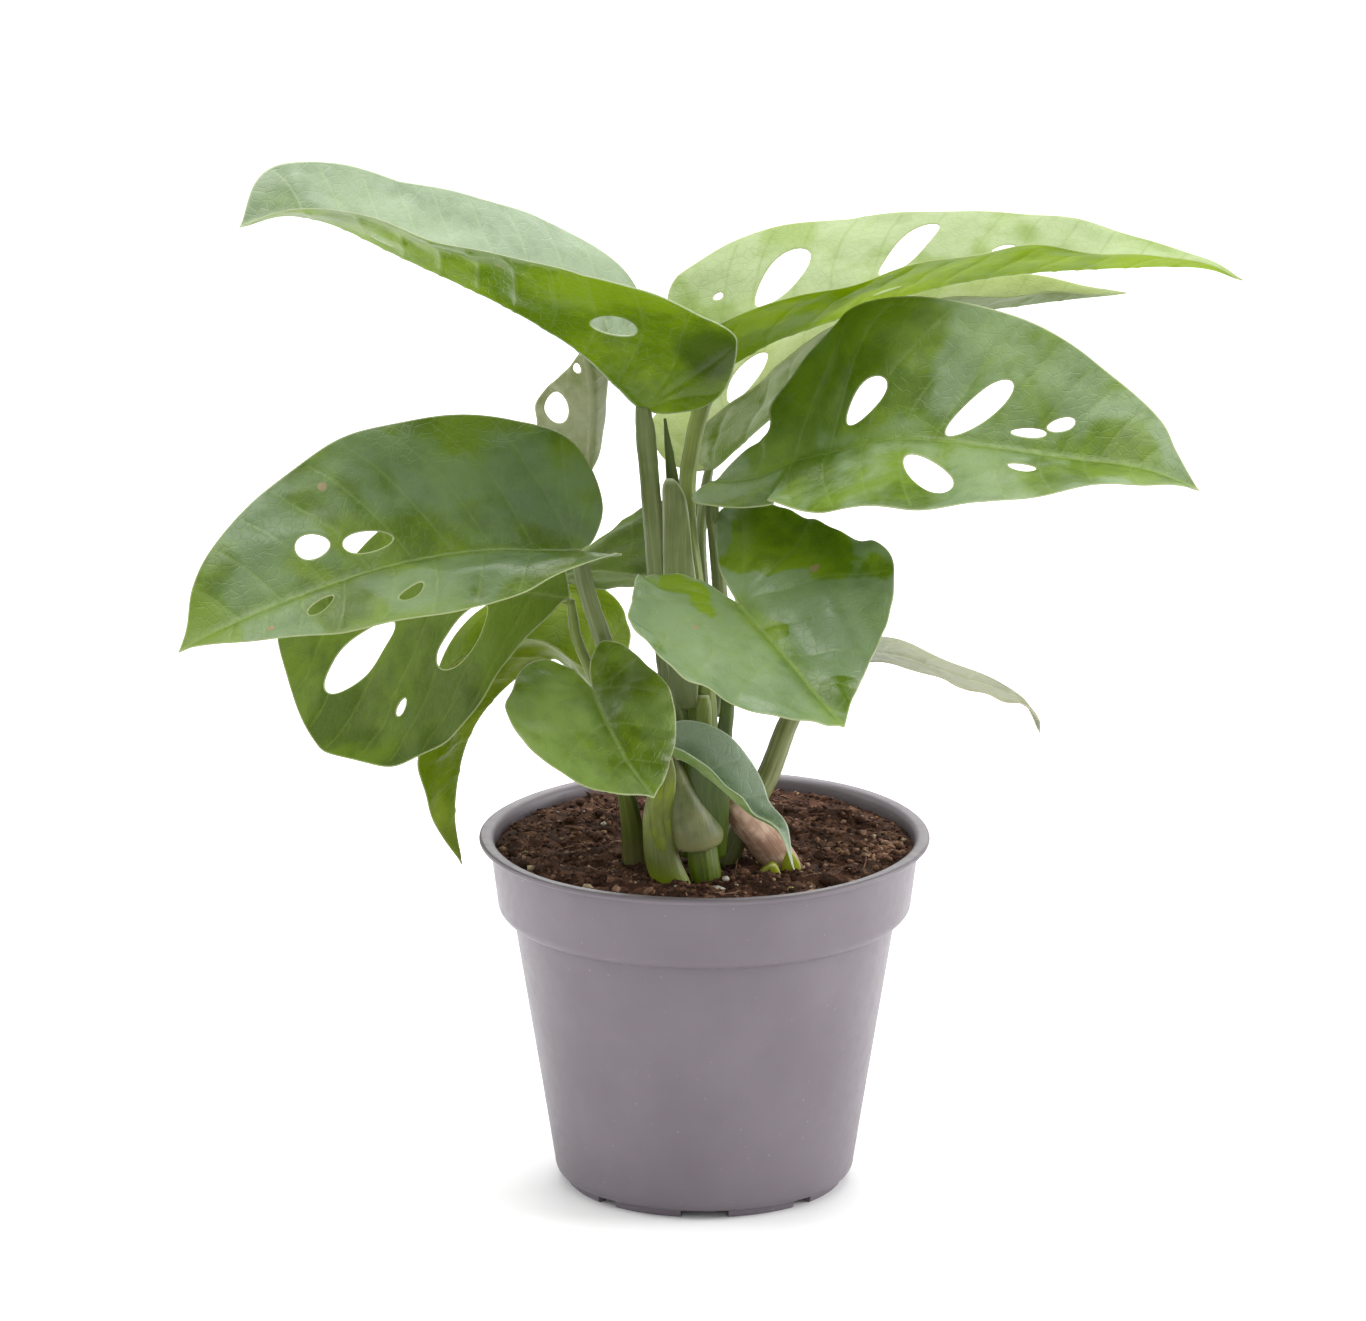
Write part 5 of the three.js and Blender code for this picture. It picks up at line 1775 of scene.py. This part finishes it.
FOLIAGE: tuple[Blade, ...] = (
    Blade(
        "upper_left",
        midrib=((-16, -28, 221.5), (-23, -30, 229.5), (-34, -32, 240), (-53.5, -35, 252.5), (-79.5, -39, 266),
                (-96.5, -42, 275), (-109.5, -44, 278), (-121.5, -45, 275)),
        left=Half(37.5, 9, Outline.HEART, (62, 35, 26, 14),
                  (Hole(24, 15, 5.5, 4.5, 125), Hole(86.5, 5, 3.5, 1.4, 10))),
        right=Half(39, 11, Outline.BLUNT, (32, 30, 34, 52), (Hole(92, 5.5, 1.4, 1.2, 0),)),
        finish=LEAF_PAINTED_SHEEN,
        seed=1,
        spots=(Spot(3, 27, 10, Mark.PAINTED_SHADE), Spot(58, 20, 1.3)),
    ),
    Blade(
        "upper_right",
        midrib=((4.5, -10, 228), (17, -9, 235), (33, -6, 240), (51.5, -2, 245.5), (77.5, 3, 249.5),
                (107, 8, 250), (130.5, 12, 249), (142.5, 13, 245)),
        left=Half(38, 9, Outline.OVATE, (40, 20, 16, 12),
                  (Hole(24.5, 20, 12, 4.6, 38), Hole(58, 18.5, 13, 3.8, 43), Hole(81.5, 11.5, 4, 2, 30),
                   Hole(7, 22, 1.4, 1.2, 0))),
        right=Half(33, 9, Outline.OVATE, (34, 30, 28, 25), (Hole(47, 8, 4, 1.5, 15),)),
        finish=LEAF_BACKLIT,
        seed=2,
    ),
    Blade(
        "back_right",
        midrib=((1, 8, 194.5), (10.5, 12, 202.5), (22, 17, 211), (38.5, 21, 222.5), (62.5, 25, 231.5),
                (89, 28, 235), (112, 30, 237)),
        left=Half(31, 6, Outline.OVATE, (22, 12, 12, 14), (Hole(25, 18, 8.5, 3.8, 34),)),
        right=Half(26, 2, Outline.OVATE, (56, 40, 28, 20)),
        finish=LEAF_BEHIND,
        seed=3,
    ),
    Blade(
        "right",
        midrib=((2, -22, 199), (9.5, -23.5, 200), (16, -25, 202), (23.5, -27, 206), (35.5, -34, 211),
                (50, -42, 216.5), (71.5, -52, 217.5), (93.5, -62, 217), (113.5, -70, 216.5),
                (128.5, -76, 212.5)),
        left=Half(39.5, 0, Outline.EARED, (50, 62, 60, 40),
                  (Hole(46, 12.5, 7.5, 3.8, 40), Hole(77, 10.5, 11, 3.8, 45), Hole(92, 5.8, 5, 1.2, 5),
                   Hole(100.5, 9.2, 4, 1.8, 20))),
        right=Half(37, 4, Outline.NARROW_FOOT, (-14, -17, -11, 4),
                   (Hole(72, 17, 12, 4.6, 42), Hole(96.5, 11.2, 4.4, 2.3, 20))),
        finish=LEAF,
        seed=4,
        spots=(Spot(44, 26, 18, Mark.CLEAR), Spot(20, 8, 9, Mark.CLEAR), Spot(118, 2, 9, Mark.CLEAR)),
    ),
    Blade(
        "front",
        midrib=((8.5, -50, 174), (15.5, -62, 169.5), (23.5, -74, 163.5), (30.5, -83, 157), (36.5, -89, 152)),
        left=Half(39.5, 33, Outline.TAPERED, (30, 26, 16, 10)),
        right=Half(39, 16, Outline.BROAD_TIP, (10, 6, 2, 0)),
        finish=LEAF_FRONT,
        seed=5,
        spots=(Spot(4, 22, 1.5), Spot(12, -20, 0.7), Spot(-12, 22, 14, Mark.CLEAR),
               Spot(16, 3, 5, Mark.CLEAR), Spot(45, 6, 6, Mark.CLEAR)),
    ),
    Blade(
        "left",
        midrib=((-33.5, -32, 183), (-43.5, -36, 184.5), (-56.5, -41, 186), (-72, -48, 186),
                (-87.5, -56, 184.5), (-105.5, -63, 180), (-124, -70, 174), (-137.5, -74, 168)),
        left=Half(31, 5, Outline.OVATE, (12, -10, -18, -14),
                  (Hole(76.5, 7, 4.5, 1.8, 20), Hole(54.5, 14.5, 4.5, 1.8, 30))),
        right=Half(40, 10, Outline.FULL, (50, 51, 50, 40),
                   (Hole(71, 11.8, 4.5, 3.3, 10), Hole(56.5, 8.6, 7, 3, 5))),
        finish=LEAF_SOFT,
        seed=6,
        spots=(Spot(92, 9, 1.2), Spot(62, -27, 1.6), Spot(72, 16, 8, Mark.CLEAR),
               Spot(108, 3, 10, Mark.CLEAR)),
    ),
    Blade(
        "under_left",
        midrib=((-35.5, -20, 166.5), (-49, -10, 165.5), (-67.5, 4, 159), (-86.5, 18, 150.5),
                (-102.5, 30, 143.5), (-114, 38, 139)),
        left=Half(46, 4, Outline.DROOPED, (-52, -58, -58, -55),
                  (Hole(70.5, 11.5, 13.5, 5.8, 34), Hole(33.5, 12, 10.5, 5.8, 48),
                   Hole(54, 29, 2.6, 1.2, 60))),
        right=Half(36, 0, Outline.DROOPED, (40, 45, 45, 40)),
        finish=LEAF_SHADED,
        seed=7,
    ),
    Blade(
        "hanging",
        midrib=((-32.5, 12, 136.5), (-39.5, 14, 141.5), (-46.5, 16, 138.5), (-55, 19, 130.5),
                (-62, 21, 120.5), (-66, 22, 109), (-67.5, 22, 94), (-65.5, 22, 80)),
        left=Half(24, 6, Outline.OVATE, (30, 40, 36, 30)),
        right=Half(26, 6, Outline.OVATE, (30, 40, 40, 30)),
        up_at_base=(-0.2, 0, 1),
        up_at_tip=(-1, 0, 0.2),
        finish=LEAF_TRAILING,
        seed=8,
    ),
    Blade(
        "small_front",
        midrib=((-29.5, -48, 150), (-25.5, -56, 143), (-19.5, -64, 134), (-13, -70, 127)),
        left=Half(19, 13, Outline.FULL, (24, 16, 8, 0)),
        right=Half(29, 10, Outline.FULL, (10, 6, 4, 0)),
        finish=LEAF_FRESH,
        **SMALL_LEAF,
        seed=9,
    ),
    Blade(
        "young",
        midrib=((-9.5, -44, 132), (-3, -46, 129.5), (4.5, -49, 124), (12.5, -52, 117.5), (20, -54, 113),
                (24, -55, 102.5)),
        left=Half(12, 3, Outline.SLIM, (50, 46, 40, 30)),
        right=Half(8, 3, Outline.SLIM, (40, 40, 30, 10)),
        finish=LEAF_YOUNG,
        **SMALL_LEAF,
        slot="young_leaf",
        seed=10,
    ),
    Blade(
        "low_right",
        midrib=((35.5, 4, 144.5), (42, 6, 144.5), (53.5, 8, 142), (65.5, 10, 137), (76, 12, 133),
                (85.5, 14, 128), (90, 15, 119)),
        left=Half(17, 5, Outline.BLUNT, (4, 0, 0, 0)),
        right=Half(16, 5, Outline.FULL, (4, 2, 0, 0)),
        finish=LEAF_FADED,
        **SMALL_LEAF,
        seed=11,
    ),
    Blade(
        "back_pale",
        midrib=((-32, 4, 229), (-30.5, 10, 218.5), (-30, 16, 208.5), (-30.5, 21, 197), (-33, 26, 184)),
        left=Half(16, 0, Outline.WEDGE, (30, 25, 20, 0),
                  (Hole(26.5, 9.8, 5, 3.4, 6), Hole(8.5, 2.9, 2.2, 1.1, 10))),
        right=Half(8, 2, Outline.OVATE, (70, 70, 60, 30)),
        up_at_base=(0, 1, 0.2),
        up_at_tip=(0, 1, 0.2),
        finish=LEAF_PALE,
        **SMALL_LEAF,
        seed=12,
    ),
    Blade(
        "back_mid",
        midrib=((-15, -6, 168.5), (-22.5, 1.5, 167.5), (-29, 7, 166.5), (-37, 14, 163.5), (-44, 18, 161)),
        left=Half(16, 8, Outline.OVATE, (0, 0, 0, 0)),
        right=Half(30, 8, Outline.FULL, (30, 30, 26, 10), (Hole(36, 20, 2.2, 1.4, 0),)),
        finish=LEAF_SHADED,
        **SMALL_LEAF,
        seed=13,
    ),
)


def petiole(name: str, path: tuple[Place, ...], radius: float,
            finish: StalkFinish = STALK, wraps: tuple[Wrap, ...] = (), foot: float = 1.25,
            seed: int = 1) -> Stalk:
    """Describes a petiole: wider at its foot, with a small swelling below the blade.

    Args:
        name: Name of the blade that it carries.
        path: Points from its foot to the blade's joint.
        radius: Radius at the middle.
        finish: Its finish.
        wraps: Sheaths that are grown together with it.
        foot: Width of the foot, as a share of the middle.
        seed: Seed of its lumps and patterns.

    Returns:
        The petiole.
    """
    wide = radius * foot
    sizes = ((0.0, wide, wide), (0.25, (wide + radius) / 2, radius), (0.5, radius, 0.95 * radius),
             (0.8, 0.86 * radius, 0.84 * radius), (0.93, 0.95 * radius, 0.9 * radius),
             (1.0, 0.62 * radius, 0.6 * radius))
    return Stalk(f"stalk_{name}", (f"petiole_{name}",), path, sizes, finish, wraps=wraps, seed=seed)


WING = Wrap(
    (((-8.5, -30, 139), (-2.0, -29, 139), 1.2), ((-10.3, -30.5, 153), (-1.4, -29.5, 153), 2.2),
     ((-10.9, -31, 171), (-2.0, -29.5, 171), 2.2), ((-11, -31, 181), (-3.1, -29.5, 181), 1.9),
     ((-11.1, -31, 189.4), (-3.9, -29.5, 189.4), 1.6), ((-11.2, -31, 196.4), (-4.9, -29.6, 196.4), 1.2),
     ((-11.1, -30.8, 200.2), (-6.5, -29.8, 200.2), 0.8), ((-10.3, -30.6, 202.2), (-8.3, -30, 202.2), 0.3)),
    thickness=1.1, seed=3, rim=1.2)

FRONT_SHEATH = Wrap(
    (((-12, -33, 89), (-2.2, -35, 89), 3.2), ((-14.4, -33, 94), (-4.2, -35, 94), 3.8),
     ((-15.8, -32.5, 99), (-6.4, -34.5, 99), 3.8), ((-16.3, -32.5, 105), (-7.6, -34, 105), 3.4),
     ((-16.2, -33, 111), (-8.0, -34.5, 111), 3.2), ((-15, -34, 117), (-7.8, -35.5, 117), 3.0),
     ((-13.8, -35.5, 123), (-7.6, -37, 123), 2.4), ((-12.8, -37.5, 128.5), (-8.6, -38.5, 128.5), 1.4)),
    thickness=1.2, seed=5, rim=0.9)

STEM_SHEATH = Wrap(
    (((-6.0, -31, 100.6), (2.0, -31, 101.4), 4.4), ((-8.6, -31, 101.6), (4.4, -31, 102.8), 6.0),
     ((-10.0, -31, 104.5), (4.9, -31, 105.5), 6.7), ((-10.8, -31, 108.5), (3.4, -31, 109), 6.6),
     ((-11.2, -31, 113), (0.8, -31, 113), 6.0), ((-11.4, -30.8, 118), (-2.2, -30.8, 118), 5.2),
     ((-11.2, -30.5, 123), (-5.0, -30.5, 123), 4.0), ((-10.8, -30, 128), (-7.6, -30, 128), 2.2)),
    thickness=1.4, seed=7, rim=1.0)

BACK_SHEATH = Wrap(
    (((-6.0, -28, 98), (5.6, -27.5, 98), 3.2), ((-6.2, -29, 106), (6.2, -28, 106), 4.2),
     ((-6.2, -30, 114), (6.6, -29, 114), 4.2), ((-6.0, -30.5, 121), (6.8, -30, 121), 3.8),
     ((-5.4, -31, 127), (6.6, -31, 127), 3.0), ((-2.4, -31.5, 132), (6.4, -31.5, 132), 1.8)),
    thickness=1.1, seed=17, rim=0.9)

STUB_SHEATH = Wrap(
    (((-2.6, -28, 124), (2.6, -28, 124), 2.6), ((-2.7, -28.5, 133), (2.2, -28.5, 133), 2.4),
     ((-2.6, -28.5, 139), (1.8, -28.5, 139), 2.0), ((-2.0, -28, 142.4), (1.2, -28, 142.4), 1.4)),
    thickness=0.9, seed=9, rim=1.0)

DRY_TIP = Wrap(
    (((-9.4, -31.5, 126), (-5.2, -31.5, 126), 1.4), ((-9.8, -32, 130.5), (-5.8, -32, 130.5), 1.2),
     ((-10.2, -32.6, 135), (-7.2, -32.6, 135), 0.8), ((-10.2, -33, 138), (-9.2, -33, 138), 0.3)),
    thickness=0.5, seed=11, rim=0.5)

TORN_LEFT = Wrap(
    (((13.0, -27, 89.5), (20.2, -27, 89.5), 2.0), ((13.6, -28.2, 92), (20.4, -28, 92), 1.8),
     ((15.4, -29, 94.4), (19.8, -29, 94.4), 1.2), ((17.4, -29.5, 96.2), (18.6, -29.5, 96.2), 0.4)),
    thickness=0.8, seed=13, rim=0.6)

TORN_RIGHT = Wrap(
    (((19.6, -24, 91.5), (25.6, -24, 91.5), 1.6), ((20.4, -25, 95), (25.2, -25, 95), 1.4),
     ((21.4, -25.5, 97.6), (23.6, -25.5, 97.6), 0.7), ((21.8, -25.8, 99), (22.4, -25.8, 99), 0.2)),
    thickness=0.8, seed=15, rim=0.6)

STALKS: tuple[Stalk, ...] = (
    Stalk(
        "stem", ("main_stem",),
        ((0.2, -31, 72), (0.6, -30.8, 90), (-0.6, -29.5, 101), (-1.5, -27.5, 118), (-2.5, -26, 136),
         (-4.5, -24.5, 158)),
        ((0, 4.0, 4.0), (0.2, 3.9, 3.9), (0.3, 4.3, 4.3), (0.36, 3.7, 3.7), (0.6, 4.4, 4.0),
         (0.8, 3.6, 3.4), (1, 1.6, 1.6)),
        STEM, slot="stem", ribs=7, seed=21),
    Stalk(
        "old_stem_bark", ("old_stem",),
        ((27, -19, 80), (22.8, -20, 89), (17.6, -20.8, 97.5), (12, -21.5, 105.5), (7.5, -22, 111.5)),
        ((0, 4.2, 4.2), (0.3, 4.6, 4.4), (0.5, 5.0, 4.8), (0.62, 4.5, 4.6), (0.78, 5.2, 6.2),
         (0.9, 4.6, 5.6), (1, 3.2, 3.8)),
        WOOD, slot="old_stem", ribs=4, rib_height=0.03, lumps=0.25, seed=22),
    Stalk(
        "petiole_stub", ("old_petiole_stub",), ((11.5, -24, 84), (15, -25, 90), (18.6, -26, 95)),
        ((0, 2.2, 2.2), (0.6, 2.3, 2.0), (0.9, 1.6, 1.2), (1, 0.7, 0.5)), STUB, slot="stub", ribs=6,
        rib_height=0.1, lumps=0.2, wraps=(TORN_LEFT, TORN_RIGHT), seed=23),
    Stalk(
        "rolled_leaf", ("spear",),
        ((-5.6, -24, 160), (-6.6, -23.5, 178), (-8.2, -22.5, 197), (-10.5, -21, 216)),
        ((0, 2.2, 1.9), (0.35, 2.1, 1.8), (0.7, 1.6, 1.3), (0.92, 0.7, 0.6), (1, 0.2, 0.2)),
        STALK_DARK, slot="young_leaf", ribs=2, rib_height=0.1, seed=24),
    petiole(
        "upper_left",
        ((-5.5, -28, 122), (-7.5, -28, 135), (-9.8, -28, 154.5), (-11.9, -28, 172), (-13.8, -28.4, 194),
         (-15.4, -28.2, 213), (-16.2, -28.2, 221.5)),
        2.9, wraps=(WING,), seed=31),
    petiole(
        "upper_right",
        ((1, -27, 125), (0, -26, 142), (-2, -23.5, 166), (-4.2, -19, 182.5), (-4.6, -17.5, 193),
         (-4.0, -14.5, 202), (-1.0, -12, 216), (4.0, -10.2, 227.5)),
        2.5, STALK_YELLOW, (STUB_SHEATH,), seed=32),
    petiole(
        "back_right",
        ((0, -20, 141), (-0.5, -13.5, 164.5), (-1, -6, 180), (0, 3, 188), (1.2, 7.8, 194.2)),
        1.6, seed=33),
    petiole(
        "right",
        ((2, -22, 135), (4.6, -18.5, 152), (4, -18, 168), (3, -18.5, 180), (2, -20.5, 190),
         (2, -21.8, 198.6)),
        2.0, seed=34),
    petiole(
        "front",
        ((1.6, -27.5, 99), (2.6, -28, 108), (2.8, -29, 117), (4.4, -31, 127), (6, -34, 140),
         (6.8, -41, 157), (8.4, -49.6, 173.4)),
        1.9, STALK_DARK, (BACK_SHEATH,), foot=1.8, seed=35),
    petiole(
        "left",
        ((-3, -28, 116), (-13, -29, 129.5), (-22, -30, 144), (-27.5, -31, 160.5), (-31, -32, 172),
         (-33.4, -32, 182.4)),
        2.6, seed=36),
    petiole(
        "under_left",
        ((-3, -24, 110), (-14.5, -21, 121), (-24.5, -20, 135), (-30.5, -20, 147.5), (-34, -20, 156.5),
         (-35.4, -20, 166)),
        1.6, STALK_YELLOW, seed=37),
    petiole(
        "hanging",
        ((-3, -22, 104), (-15.5, -10, 114), (-24.5, 0.5, 124.5), (-30, 8.5, 132.5), (-32.4, 11.8, 136.3)),
        1.6, seed=38),
    petiole(
        "small_front",
        ((-17, -17, 82), (-18.2, -18.5, 93), (-19.4, -22, 106), (-22.6, -31, 124), (-27.4, -43, 142),
         (-29.4, -47.6, 149.4)),
        2.1, STALK_BROWNED, foot=2.0, seed=39),
    petiole(
        "young",
        ((-5, -33, 82), (-6.5, -34, 91), (-11, -35, 102), (-13, -37, 114), (-12, -40, 124),
         (-9.8, -43.6, 131.6)),
        2.0, SHEATH_FOOT, (FRONT_SHEATH,), foot=1.3, seed=40),
    petiole(
        "low_right",
        ((5, -18, 92), (8.5, -17, 100), (12.5, -16, 108), (17.5, -12, 117), (23, -6, 130), (30, 0, 140),
         (35.2, 3.8, 144.2)),
        2.9, STALK_PALE, foot=1.1, seed=41),
    petiole(
        "back_pale",
        ((-4, -19, 138), (-10, -17, 160), (-12.5, -14, 181.5), (-14.5, -11, 205), (-16.5, -8.5, 221),
         (-24, -3, 229.5), (-31.8, 3.8, 229)),
        1.3, seed=42),
    petiole(
        "back_mid",
        ((-3, -19, 138), (-7.5, -13, 153.5), (-10.5, -9, 163), (-14.6, -6.2, 168.3)),
        1.3, seed=43),
)

SHEATHS: tuple[Sheath, ...] = (
    Sheath("stem_sheath_skin", ("stem_sheath",), (STEM_SHEATH,), SHEATH),
    Sheath("dried_sheath_skin", ("dried_sheath",), (DRY_TIP,), DRIED, slot="dried_sheath"),
)

GRAINS = (
    Grain(-53.5, -4, 1.3, 0.955), Grain(-33, -7, 1.2, 0.945), Grain(-49, -11, 1.0, 0.96),
    Grain(-27, 8, 1.2, 0.95), Grain(-46, -26, 1.5, 0.97), Grain(-31, -40, 1.7, 0.972),
    Grain(-23.4, -42, 1.3, 0.945), Grain(45, 2, 1.3, 0.972), Grain(48, 8, 1.1, 0.88),
    Grain(28, -46, 1.8, 0.95), Grain(-8.6, -54, 1.3, 0.982), Grain(22.5, -42, 1.2, 0.982),
    Grain(3.2, -40, 1.7, 0.995, 1.8), Grain(5.5, -36, 1.3, 0.995), Grain(29, -41, 1.3, 0.965),
)


def main() -> None:
    """Builds the studio, the pot, the mix and the plant, and reports each piece."""
    logging.basicConfig(level=logging.INFO, format="%(message)s")
    Studio().build()
    pot = Pot()
    mix = Mix(pot, grains=GRAINS)
    for part in (pot, mix, *STALKS, *SHEATHS, *FOLIAGE):
        piece = part.build()
        part.dress(piece)
        log.info("%s: %d faces", piece.name, len(piece.data.polygons))


if __name__ == "__main__":
    main()
